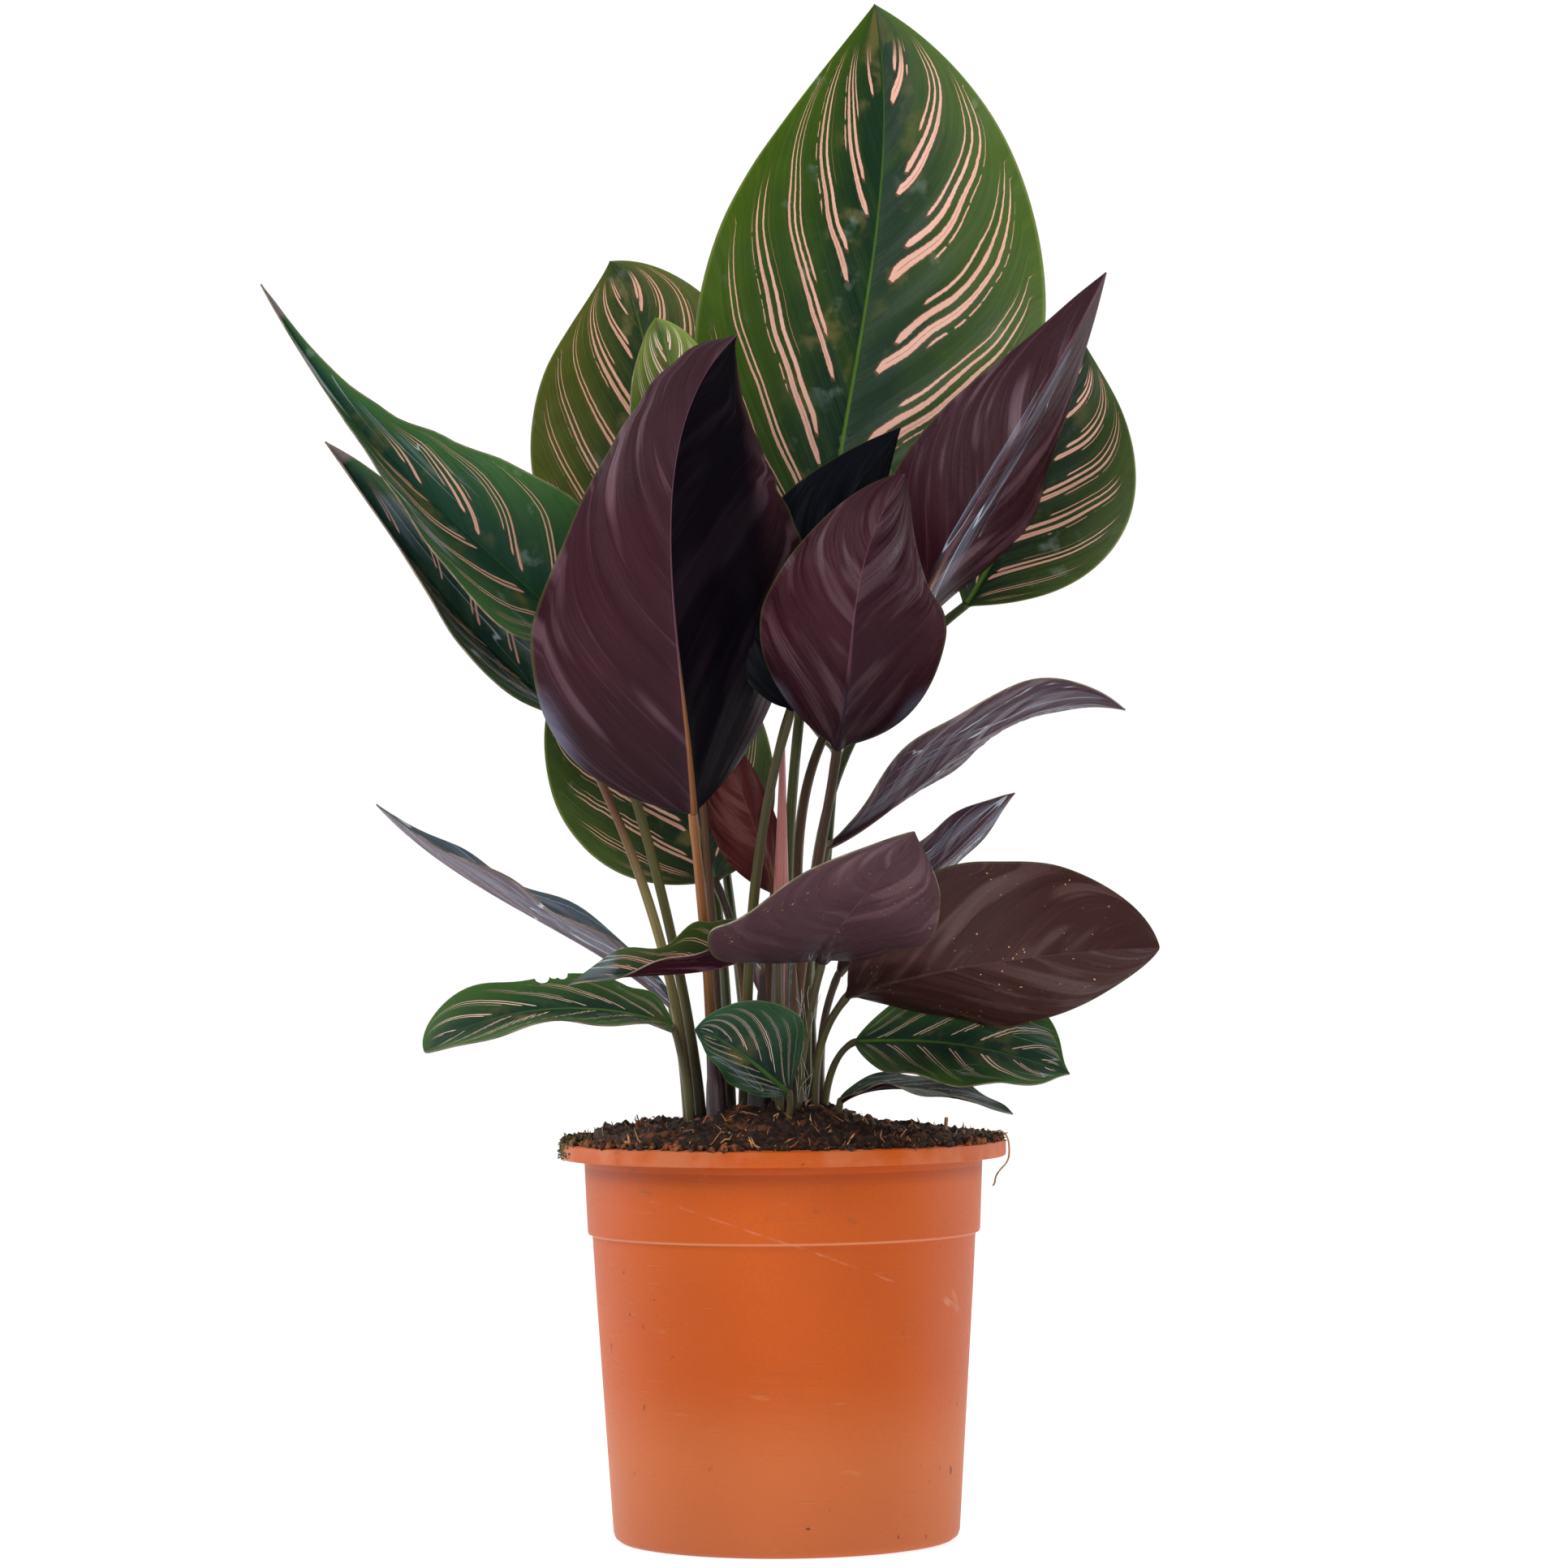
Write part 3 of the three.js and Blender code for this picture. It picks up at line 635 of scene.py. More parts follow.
def fibre_finish(name, dark, pale):
    material, tree, skin = new_finish(name, Roughness=0.6)
    place = place_in(tree, "Object")
    tone = clouds(place, 0.009, 2).rise(0.3, 0.7)
    colour = blend(tone, paint(dark), paint(pale))
    colour = cover(colour, (clouds(place, 0.0012, 2).rise(0.45, 0.8) * 0.5, "2c1a10"))
    wear(skin, colour, clouds(place, 0.0006, 2), 0.0002)
    return material


soil.data.materials.append(peat_finish("peat", "1c110b", "64391f", 0.62))
crumb_heap.data.materials.append(peat_finish("peat_crumbs", "24150d", "8a4f28", 0.60))
fibres.data.materials.append(fibre_finish("root_fibre", "a04c1c", "e8ae74"))
print("the soil is painted")

# %% [markdown]
# ## The leaves
# Each leaf is one blade on one stalk. A blade could be sculpted, but twenty-five of them that fit
# the frame are easier to bend by one formula: a curve for the midrib, a width that swells and
# tapers, two halves that fold up from the midrib and curl, and an edge that waves. The same
# formula made the plain blades of the frame, so the finer ones lie in them.

# %% Describe every leaf
TO_VIEWER = (0, -1, 0.2)
AWAY = (0, 1, 0.1)


def leaf(rib, face, half, lift, foot, bend, stalk, **more):
    """Midrib points, where the face looks, widths, lifts in degrees, and the stalk's course.

    trim changes the widths of the two halves along the blade: (share of the way, first, second).
    sheen lists painted highlights: (half, reach, half width, from, to, strength), where a
    strength below 0 is a soft painted gleam. gloom says how far each half lies in the shade of
    the others, as painted shade.
    """
    described = dict(rib=rib, face=face, half=half, lift=lift, foot=foot, bend=bend, stalk=stalk)
    described.update(lift_tip=lift, widest=0.43, round=0.75, sweep=(0.30, 0.22), gloom=(0, 0))
    described.update(trim=((0, 1, 1), (1, 1, 1)), sheen=())
    described.update(upper="deep", under="wine", stem="olive")
    described.update(more)
    return described


LEAVES = {
    "top": leaf(
        [(15, 18, 306), (24, 24, 363), (34, 34, 427), (33, 50, 491)],
        (TO_VIEWER, (0, -1, 0.3)), (54, 60), (8, 8),
        (0, 8), [(1, 8, 180), (5, 10, 246)], (2.4, 1.9), upper="bright", stem="green",
        sweep=(0.41, 0.17),
    ),
    "back_left": leaf(
        [(-50, 45, 298), (-41, 42, 334), (-42, 48, 377), (-54, 58, 409)],
        (TO_VIEWER, TO_VIEWER), (40, 38), (6, -4),
        (-16, 13), [(-18, 20, 172), (-26, 42, 229)], (2.3, 1.8), upper="olive", stem="green",
        sweep=(0.4, 0.3),
    ),
    "young_left": leaf(
        [(-28, 8, 321), (-30, 4, 344), (-33, 2, 367), (-38, 6, 385)],
        (TO_VIEWER, TO_VIEWER), (17, 17), (20, 20),
        (-19, 5), [(-21, 4, 177), (-25, 4, 247)], (2.1, 1.6), upper="young", stem="brown",
    ),
    "wing_left": leaf(
        [(-63, 5, 282), (-86, 0, 306), (-121, -8, 340), (-162, -2, 396)],
        (TO_VIEWER, TO_VIEWER), (30, 30), (50, 20),
        (-25, 3), [(-31, 3, 171), (-45, 1, 231)], (2.3, 1.8), lift_tip=(60, 35), widest=0.37,
        upper="blue",
        trim=((0, 1, 1), (0.3, 1.35, 1.1), (0.5, 1.15, 1.0), (0.63, 0.85, 0.85), (0.73, 0.62, 0.6),
              (0.83, 0.5, 0.45), (0.94, 0.5, 0.4), (1, 1, 1)),
        sheen=((1, 0.4, 0.35, 0.45, 1.0, 0.8), (-1, 0.7, 0.35, 0.4, 1.0, 0.8)),
    ),
    "front_left": leaf(
        [(-27, -32, 228), (-31, -56, 280), (-31, -62, 332), (-12, -38, 375)],
        ((-0.36, 0.93, 0), (0.11, 0.99, 0.2)), (50, 52), (28, 36),
        (-22, -7), [(-22, -9, 155), (-24, -18, 193)], (2.4, 1.9), widest=0.3, round=0.45,
        stem="orange", gloom=(0.93, 0),
        trim=((0, 1.1, 1), (0.3, 1.12, 1), (0.55, 1.22, 0.9), (0.7, 1.35, 0.9), (0.8, 1.7, 0.98),
              (0.9, 2.3, 1.3), (0.97, 2.6, 2), (1, 1, 1)),
        sheen=((1, 1.0, 0.14, 0.04, 0.26, -1.0),),
    ),
    "under_wing_left": leaf(
        [(-67, 14, 260), (-91, 14, 281), (-116, 14, 310), (-143, 8, 347)],
        (TO_VIEWER, TO_VIEWER), (18, 26), (55, 20),
        (-29, -3), [(-33, -4, 165), (-45.5, -4, 212)], (2.3, 1.7), lift_tip=(80, 30), upper="dim",
        stem="ripe",
        trim=((0, 1.3, 1), (0.2, 1.7, 1), (0.4, 1.6, 1), (0.6, 1.25, 1), (0.8, 0.8, 0.8), (1, 1, 1)),
        sheen=((-1, 0.45, 0.5, 0.02, 0.9, 0.9), (1, 0.45, 0.5, 0.02, 0.9, 1.0)),
    ),
    "low_left": leaf(
        [(-21, 10, 207), (-30, 26, 236), (-39, 36, 268), (-45, 32, 302)],
        (TO_VIEWER, TO_VIEWER), (42, 30), (2, 2),
        (-11, 7), [(-11, 7, 149), (-13, 7, 180)], (2.1, 1.7), round=0.45, stem="brown",
    ),
    "young_red": leaf(
        [(-2, 2, 203), (-7, 2, 221), (-14, 3, 240), (-20, 5, 262)],
        (AWAY, AWAY), (8, 15), (20, 20),
        (-6, 2), [(-5, 2, 157), (-4, 2, 180)], (2.1, 1.8), under="rust", stem="brown",
    ),
    "middle": leaf(
        [(18, -28, 248), (22, -52, 276), (26, -58, 302), (39, -46, 331)],
        (AWAY, AWAY), (34, 33), (25, 25),
        (2, 0), [(4, -1, 162), (11, -8, 208)], (2.4, 1.9), widest=0.33, round=0.35, stem="brown",
        under="plum", gloom=(0.2, 0),
        sheen=((-1, 1.0, 0.3, 0.0, 0.16, -0.9), (1, 1.0, 0.3, 0.0, 0.14, -0.9)),
    ),
    "shade": leaf(
        [(4, -13, 261), (6.5, -28, 286), (16, -22.5, 314), (39, -1, 349)],
        ((-0.4, 0.9, 0), (-0.3, 0.9, 0)), (24, 24), (8, 0),
        (-13, -1), [(-11, -2, 165), (-7, -6, 213)], (2.3, 1.9), under="night",
    ),
    "wing_right": leaf(
        [(38, -8, 279), (55, -30, 312), (78, -34, 350), (103, -22, 395)],
        ((-0.28, 0.96, 0), (-0.28, 0.96, 0)), (33, 33), (44, 44),
        (5, 13), [(6, 15, 175), (8, 16, 234)], (2.3, 1.9), stem="brown",
        trim=((0, 1.3, 1), (0.2, 1.6, 1), (0.4, 1.35, 1), (0.6, 1.1, 1), (0.85, 0.9, 0.9), (1, 1, 1)),
        sheen=((-1, 0.13, 0.18, 0.04, 0.9, 1.0), (1, 0.04, 0.07, 0.1, 0.8, 0.9)),
    ),
    "back_right": leaf(
        [(59, 4, 293), (75, 2, 320), (88, 2, 348), (98, 8, 376)],
        (TO_VIEWER, TO_VIEWER), (30, 34), (-5, 8),
        (9, 17), [(9, 21, 172), (17, 22, 236)], (2.2, 1.8), widest=0.45, round=1.0, stem="green",
    ),
    "arm_right": leaf(
        [(15, 0, 218), (43, -12, 236), (73, -18, 256), (108, -16, 259)],
        ((-0.47, 0.24, 0.84), (-0.2, 0.24, 0.95)), (24, 24), (6, 6),
        (8, 5), [(8, 4, 162), (10, 3, 193)], (1.9, 1.6), widest=0.55, round=1.3, under="grey",
        sheen=((-1, 0.4, 0.6, 0.0, 1.0, 0.85), (1, 0.4, 0.6, 0.0, 1.0, 0.85)),
    ),
    "small_right": leaf(
        [(18, 12, 177), (38, 16, 198), (57, 20, 217), (75, 26, 234)],
        ((-0.5, 0.6, 0.6), (-0.5, 0.6, 0.6)), (14, 14), (10, 10),
        (13, 11), [(12, 12, 141), (13, 12, 160)], (1.7, 1.5), under="grey", stem="brown",
        sheen=((-1, 0.5, 0.6, 0.1, 1.0, 1.0), (1, 0.5, 0.6, 0.1, 1.0, 1.0)),
    ),
    "front_low": leaf(
        [(13, -14, 182), (18, -50, 193), (29, -80, 207), (40, -92, 221)],
        ((-0.1, 0.5, 0.86), (-0.1, 0.5, 0.86)), (26, 44), (-20, -10),
        (3, -11), [(5, -10, 142), (8, -10, 162)], (1.9, 1.6), lift_tip=(-20, -26), under="mauve",
        sheen=((-1, 0.1, 0.3, 0.0, 0.16, 0.8), (1, 0.15, 0.35, 0.0, 0.16, 0.8)),
    ),
    "tail_left": leaf(
        [(-1, -13, 190), (-21, -27, 180), (-43, -35, 178), (-66, -32, 175)],
        ((0, 0, 1), (0, 0, 1)), (15, 14), (60, 75),
        (-2, -12), [(-1, -13.5, 139), (-1, -13, 164)], (1.8, 1.5), lift_tip=(-15, 75), widest=0.4,
        trim=((0, 1.2, 1.3), (0.15, 1.1, 1.25), (0.33, 1.05, 1), (0.55, 0.75, 0.75), (0.8, 0.7, 1),
              (1, 1, 1)),
        sheen=((-1, 0.5, 0.9, 0.72, 1.1, 1.2), (1, 0.5, 0.9, 0.72, 1.1, 1.2)),
    ),
    "low_right": leaf(
        [(21, -12, 171), (47, -38, 178), (80, -48, 183), (116, -42, 185)],
        ((0, 0.95, 0.3), (0, 0.95, 0.3)), (32, 34), (25, 35),
        (10, -6), [(10, -7, 141), (13, -8, 158)], (1.8, 1.6), widest=0.48, round=0.5, under="dusty",
    ),
    "skirt_right": leaf(
        [(23, -4, 156), (46, -14, 156), (66, -22, 153), (89, -26, 146)],
        ((0.1, -0.7, 0.7), (0.1, -0.7, 0.7)), (25, 22), (5, 5),
        (14, -1), [(13, -1, 133), (16, -2, 148)], (1.5, 1.3), upper="low",
        trim=((0, 1, 1), (0.5, 1, 1), (0.75, 1.3, 1.15), (0.92, 1.7, 1.5), (1, 1, 1)),
        sheen=((-1, 0.6, 0.5, 0.5, 1.0, 0.8), (1, 0.6, 0.4, 0.5, 1.0, 0.6)),
    ),
    "hem_right": leaf(
        [(18, -12, 138), (33, -16, 142), (52, -24, 140), (71, -32, 134)],
        ((0, -0.2, 1), (0, -0.2, 1)), (12, 12), (5, 5),
        (15, -9), [(15, -10, 123), (16, -11, 128)], (1.4, 1.2), upper="small",
        sheen=((-1, 0.5, 0.6, 0.1, 1.0, 0.9), (1, 0.5, 0.6, 0.1, 1.0, 0.9)),
    ),
    "skirt_left": leaf(
        [(-34, -8, 161), (-56, -18, 167), (-84, -30, 166), (-110, -38, 155)],
        ((0, -0.2, 1), (0, -0.2, 1)), (18, 16), (-8, 36),
        (-30, -10), [(-29, -10, 132), (-31, -9, 149)], (1.6, 1.4), widest=0.55, upper="low",
        trim=((0, 1.4, 1.2), (0.08, 1.9, 1.6), (0.22, 1.3, 1.1), (0.42, 1, 0.8), (0.6, 1, 0.85),
              (1, 1, 1)),
    ),
    "narrow_left": leaf(
        [(-35, 10, 168), (-64, 10, 188), (-97, 10, 207), (-128, 12, 232)],
        ((0.56, 0, 0.83), (0.56, 0, 0.83)), (13, 12), (22, 38),
        (-31, 10), [(-29, 11, 134), (-32, 11, 152)], (1.6, 1.4), under="silver", upper="slate",
        sheen=((-1, 0.5, 0.8, -0.1, 1.1, 1.0), (1, 0.5, 0.8, -0.1, 1.1, 1.0)),
    ),
    "small_front": leaf(
        [(2, -20, 141), (-6, -28, 148), (-16, -34, 156), (-27, -38, 161)],
        ((0, -0.9, 0.3), (0, -0.9, 0.3)), (10, 20), (-45, 5),
        (-4, -19), [(0, -19, 126), (2, -19, 134)], (1.4, 1.2), upper="small",
        sheen=((-1, 0.6, 0.5, 0.0, 0.8, 0.9),), sweep=(0.5, 0.55),
    ),
    "rear_right": leaf(
        [(18, 35, 248), (22, 65, 275), (26, 92, 290), (30, 118, 285)],
        ((0, -0.3, 1), (0, 0.3, 1)), (22, 22), (10, 10),
        (3, 19), [(9, 25, 160), (14, 29, 205)], (2.1, 1.7), stem="green",
    ),
    "rear_left": leaf(
        [(-22, 52, 242), (-36, 78, 268), (-48, 102, 280), (-58, 126, 272)],
        ((0, -0.3, 1), (0, 0.3, 1)), (24, 24), (10, 10),
        (-9, 18), [(-12, 30, 160), (-17, 42, 205)], (2.1, 1.7), stem="green",
    ),
    "rear_low": leaf(
        [(0, 34, 172), (1, 62, 182), (0, 90, 176), (-1, 114, 158)],
        ((0, -0.1, 1), (0, 0.5, 1)), (15, 15), (10, 10),
        (-4, 21), [(-3, 24, 142), (-1, 28, 158)], (1.7, 1.5), upper="low",
    ),
}
print("leaves described:", len(LEAVES))

# %% [markdown]
# ## The form of a blade
# On the plant a blade stiffens as it unrolls, with its side veins sweeping from the midrib to the
# edge. The formula works in two numbers: the share of the way along, and the share of the way
# across. Everything that follows the veins, folds as well as stripes, uses the same sum of both.

# %% Work out where the points of a blade lie
GROUPS = 6.5  # groups of stripes along a blade
BEND = 0.083  # how far the veins turn up towards the tip close to the edge
LEAF_CURL = math.radians(12)
RIB_HALF_WIDTH = 1.3


def draw_number_of(name):
    """A number of its own for each leaf, so that no two have the same stripes."""
    return 0.31 * list(LEAVES).index(name) + 0.17


def curve_through(points, u):
    """The smooth curve that passes through four points at 0, 1/3, 2/3 and 1 of its run."""
    a, b, c, d = (np.array(p, float) for p in points)
    u = np.asarray(u, float)[..., None]
    start, end = (1 - u) * (1 - 3 * u) * (2 - 3 * u) / 2, u * (3 * u - 1) * (3 * u - 2) / 2
    return start * a + 4.5 * u * (1 - u) * ((2 - 3 * u) * b + (3 * u - 1) * c) + end * d


def trimmed(knots, u, pick):
    """The factor at u, which rises or falls smoothly from one knot to the next."""
    at, first, second = (np.array(part, float) for part in zip(*knots))
    start = np.clip(np.searchsorted(at, u, side="right") - 1, 0, len(at) - 2)
    share = (u - at[start]) / (at[start + 1] - at[start])
    share = share * share * (3 - 2 * share)
    factors = np.stack([first, second], axis=1)
    return factors[start, pick] * (1 - share) + factors[start + 1, pick] * share


def unit(vectors):
    return vectors / np.linalg.norm(vectors, axis=-1, keepdims=True)


def directions(described, u):
    """Along the midrib, out of the upper face, and across."""
    rib = described["rib"]
    ahead = unit(curve_through(rib, u + 1e-3) - curve_through(rib, u - 1e-3))
    first, last = (np.array(f, float) for f in described["face"])
    out = first + (last - first) * u[:, None]
    out = unit(out - (out * ahead).sum(1, keepdims=True) * ahead)
    return ahead, out, np.cross(ahead, out)


def vein_run(u, reach, sweep):
    """The same along each vein: how far from the base a vein leaves the midrib."""
    return u - sweep * reach + BEND * np.log(1 - 0.98 * np.clip(reach, 0, 1))


def bend_blade(described, u, across, draw_number):
    """Points, the way out at the midrib, distances from it, and how broad the blade is."""
    reach, side = np.abs(across), np.where(across < 0, -1.0, 1.0)
    pick = (side > 0).astype(int)
    widest, roundness = described["widest"], described["round"]
    taper = roundness * (1 - widest) / widest
    width = np.array(described["half"], float)[pick]
    body = width * (u / widest) ** roundness * ((1 - u) / (1 - widest)) ** taper
    body *= trimmed(described["trim"], u, pick)
    width = np.hypot(body, RIB_HALF_WIDTH * np.clip((1 - u) / 0.06, 0.15, 1))
    lift = np.array(described["lift"], float)[pick] * (1 - u)
    lift = np.radians(lift + np.array(described["lift_tip"], float)[pick] * u)
    end = lift + LEAF_CURL * reach
    sideways = width * (np.sin(end) - np.sin(lift)) / LEAF_CURL
    rise = width * (np.cos(lift) - np.cos(end)) / LEAF_CURL
    # the edge waves, the blade folds lightly between its veins, and it is uneven all over
    rise += 1.5 * reach**2 * np.sin(2 * np.pi * (2.5 * u + 0.3 * side)) * np.sin(np.pi * u)
    run = vein_run(u, reach, np.array(described["sweep"], float)[pick])
    fold = np.sin(2 * np.pi * (run * GROUPS * 1.5 + draw_number))
    rise += 0.017 * width * fold * np.sin(np.pi * reach) * np.sin(np.pi * u)
    _, out, sidewards = directions(described, u)
    points = curve_through(described["rib"], u) + (side * sideways)[:, None] * sidewards
    pucker = np.array([noise.noise(Vector(p) / 19) for p in points])
    points = points + (rise + 1.1 * pucker * reach * np.sin(np.pi * u))[:, None] * out
    corners = np.array(described["rib"], float)
    length = np.linalg.norm(np.diff(corners, axis=0), axis=1).sum()
    return points, out, width * reach, np.clip(5 * width / length, 0, 1)


def glints(described, u, across):
    """How much painted highlight each point gets: above 0 as thin lines, below 0 as a soft gleam."""
    pale = np.zeros(len(u))
    for side, centre, half, begin, finish, strength in described["sheen"]:
        near = 1 - ((np.abs(across) - centre) / half) ** 2
        span = np.clip((u - begin) * 12, 0, 1) * np.clip((finish - u) * 12, 0, 1)
        here = np.clip(near, 0, 1) * span * strength * (across * side >= 0)
        pale = np.where(np.abs(here) > np.abs(pale), here, pale)
    return pale


print("a vein halfway out left the midrib at", np.round(vein_run(0.5, 0.5, 0.3), 3))

# %% [markdown]
# ## The striped upper face
# The stripes follow the side veins: they start a little off the midrib, climb towards the tip and
# die out before the edge, in groups of two or three, with a fine brown outline. The blade's own
# UV map says how far along and across a point is, and one sum turns that into a number that stays
# the same along a vein. A stripe is then a narrow band of that number.

# %% Paint the upper faces
def along_the_veins(tree):
    """Distance across from 0 to 1, the side, the way along, and the number of the vein."""
    across, u, _ = parts_of(place_in(tree, "UV"))
    across = across * 2 - 1
    reach = across.size()
    side = across.work("SIGN")
    bent = (reach * -0.98 + 1).work("MAXIMUM", 0.11).work("LOGARITHM", math.e) * BEND
    return reach, side, u, u - own(tree, "sweep") * reach + bent


def vein_clouds(tree, run, reach, where):
    """Fine and broad noise drawn out along the veins, and weaker where the blade is narrow."""
    breadth = own(tree, "breadth")
    fine = clouds(vector(tree, run * 44, reach * 1.3, where), 1.0, 2)
    broad = clouds(vector(tree, run * 10, reach * 0.8, where * 2), 1.0, 2)
    return (fine - 0.5) * breadth + 0.5, (broad - 0.5) * breadth + 0.5


def glint(tree, colour, side, u):
    """Paints highlights over a colour: a streaky veil with thin bright lines in it, and a soft gleam."""
    asked, from_rib, draw = (own(tree, label) for label in ("sheen", "from_rib", "draw"))
    veil = clouds(vector(tree, from_rib * 0.45, u * 3, side + draw), 1.0, 2)
    wander = clouds(vector(tree, from_rib * 0.3, u * 2.4, side * 2 + draw * 5), 1.0, 0)
    thin = (asked * 0.02 - (wander - 0.5).size()).rise(0.0, 0.012)
    return cover(
        colour,
        ((asked * 0.6 + veil - 0.88).rise(0.0, 0.4) * 0.35, "8593a6"),
        (thin * 0.7, "bcc7d4"),
        ((asked * -1).rise(0.0, 1.0) * 0.34, "8790ac"),
    )


def stripe(part, centre, half, reach, start, end, soft=0.014):
    """A band round centre, blunt at its start, that thins out towards its end."""
    swell = reach.rise(start, start + 0.035) * reach.rise(end - 0.10, end).flip()
    edge = half * swell * (reach * -0.95 + 1.2) - (part - centre).size()
    return (edge / soft).held()


def upper_finish(name, deep, fresh, pink, bold=1.0, pale_rib="5f8a25", glare_and_bloom=0.25,
                 outline="7a4a2b", dry=0.0):
    material, tree, skin = new_finish(name, Specular_IOR_Level=0.18)
    place = place_in(tree, "Object")
    reach, side, u, run = along_the_veins(tree)
    number = (own(tree, "draw") * 100 + 0.5).whole() / 100
    from_rib = own(tree, "from_rib")
    ragged = 0.024 * bold * bold + 0.004
    stray = clouds(place, 0.03, 1) * 0.4 + clouds(place, 0.0013, 2) * ragged
    count = run * GROUPS + number * 3.7 + side * 0.37 + stray
    group = count.whole()
    part = count - group
    dice = [chance(group * 1.31 + side * 7.7 + number * 13.7 + k * 3.1) for k in range(6)]
    first = dice[0] * 0.12 + 0.34
    thick = (dice[3] * 0.035 + 0.058) * bold
    start, end = dice[1] * 0.07 + 0.06, dice[2] * 0.12 + 0.86
    second = first + thick * 1.75 + dice[5] * 0.04 + 0.05
    broken = clouds(place, 0.004, 2).rise(0.40, 0.48)
    bands = [
        (first, thick, start, end, None),
        (second, thick * 0.8, start + dice[4] * 0.10, end - dice[5] * 0.08 + 0.04, None),
        (second + thick + 0.09, dice[4].rise(0.3, 0.5) * 0.038 * bold, start + 0.2, end - 0.06, None),
        (first - thick - 0.08, dice[5].rise(0.2, 0.5) * 0.030 * bold, start + 0.25, end, broken),
    ]
    ink, rim = None, None
    for centre, half, begin, finish, mask in bands:
        inner = stripe(part, centre, half, reach, begin, finish)
        outer = stripe(part, centre, half + 0.016, reach, begin - 0.01, finish + 0.02, 0.02)
        if mask:
            inner, outer = inner * mask, outer * mask
        ink = inner if ink is None else ink.most(inner)
        rim = outer if rim is None else rim.most(outer)
    hair = stripe(part, first + dice[3] * 0.03 - 0.015, 0.008, reach, start + 0.03, end, 0.006)
    inside = u.rise(0.02, 0.07) * u.rise(0.95, 0.995).flip() * own(tree, "breadth").rise(0.3, 0.6)
    ink, rim, hair = ink * inside, rim * inside, hair * inside
    fine, broad = vein_clouds(tree, run, reach, side + number)
    mottle = clouds(place, 0.013, 4)
    worn = mottle.rise(0.53, 0.68) * reach.rise(0.01, 0.06) * reach.rise(0.25, 0.5).flip()
    # pale blue-grey patches: painted soft glare, with some waxy bloom
    dust_and_painted_light = clouds(place, 0.009, 3).rise(0.58, 0.74) * clouds(place, 0.03, 1).rise(0.5, 0.62)
    colour = cover(
        blend((reach * 1.15 + mottle * 0.5 - 0.42).held(), paint(deep), paint(fresh)),
        (broad.rise(0.45, 0.75) * 0.35, fresh),
        (fine.rise(0.35, 0.8) * 0.22, deep),
        (worn * (side * -0.2 + 0.5), "70683c"),
        # painted soft glare and waxy bloom, in pale blue-grey patches
        (dust_and_painted_light * glare_and_bloom, "9fb3a8"),
        (rim * 0.6, outline),
    )
    colour = blend(ink, colour, blend(fine, paint(pink), paint("f0c2ae")))
    colour = cover(colour, (hair * 0.8, outline))
    half_rib = u * -0.75 + 1.0
    rib = from_rib.rise(half_rib * 0.4, half_rib).flip() * u.rise(0.9, 1.0).flip()
    rib = rib * (u.rise(0.2, 0.9) * -0.6 + 0.9)
    colour = blend(rib, colour, blend(mottle, paint(pale_rib), paint(fresh)))
    colour = cover(colour, (reach.rise(0.975, 0.995) * 0.4, "8a9a4a"))
    colour = glint(tree, colour, side, u)
    if dry:
        colour = cover(colour, ((u + mottle * 0.06).rise(0.965, 0.985) * dry, "7d6f70"))
    relief = fine * 0.4 + broad * 0.9 + clouds(place, 0.0013, 2) * 0.1
    wear(skin, colour, relief, 0.0007, fine * 0.16 + mottle * 0.12 + 0.34)
    return material


UPPERS = {
    "bright": upper_finish("striped_green", "12301a", "456010", "e2a593", glare_and_bloom=0.3),
    "deep": upper_finish("striped_deep_green", "1a2c1d", "425422", "d59a84", 0.8, glare_and_bloom=0.3),
    "olive": upper_finish("striped_olive", "263a1a", "5a6220", "dd9f7d", 0.95, "8a8a3a"),
    "blue": upper_finish("striped_blue_green", "214434", "406833", "dba48f", 0.62, "2f5a34", 0.3, dry=0.9),
    "young": upper_finish("striped_young", "3c5c28", "7e8f3c", "ece0c8", 1.1, "a0a85a", 0.1, "6a7a40"),
    "slate": upper_finish("striped_slate", "323c42", "525e68", "b8b9be", 0.35, "5a6a5a", 0.2, dry=0.9),
    "low": upper_finish("striped_low", "1d382a", "44672e", "ecd6be", 0.52, glare_and_bloom=0.3, outline="5c5230"),
    "small": upper_finish("striped_small", "142d27", "2f5534", "efe2cf", 0.45, glare_and_bloom=0.3, outline="4a5a40"),
    "dim": upper_finish("striped_dim", "1a3731", "3d5e37", "c09480", 0.55, "24402c", 0.3, dry=0.9),
}
print("upper finishes:", sorted(UPPERS))
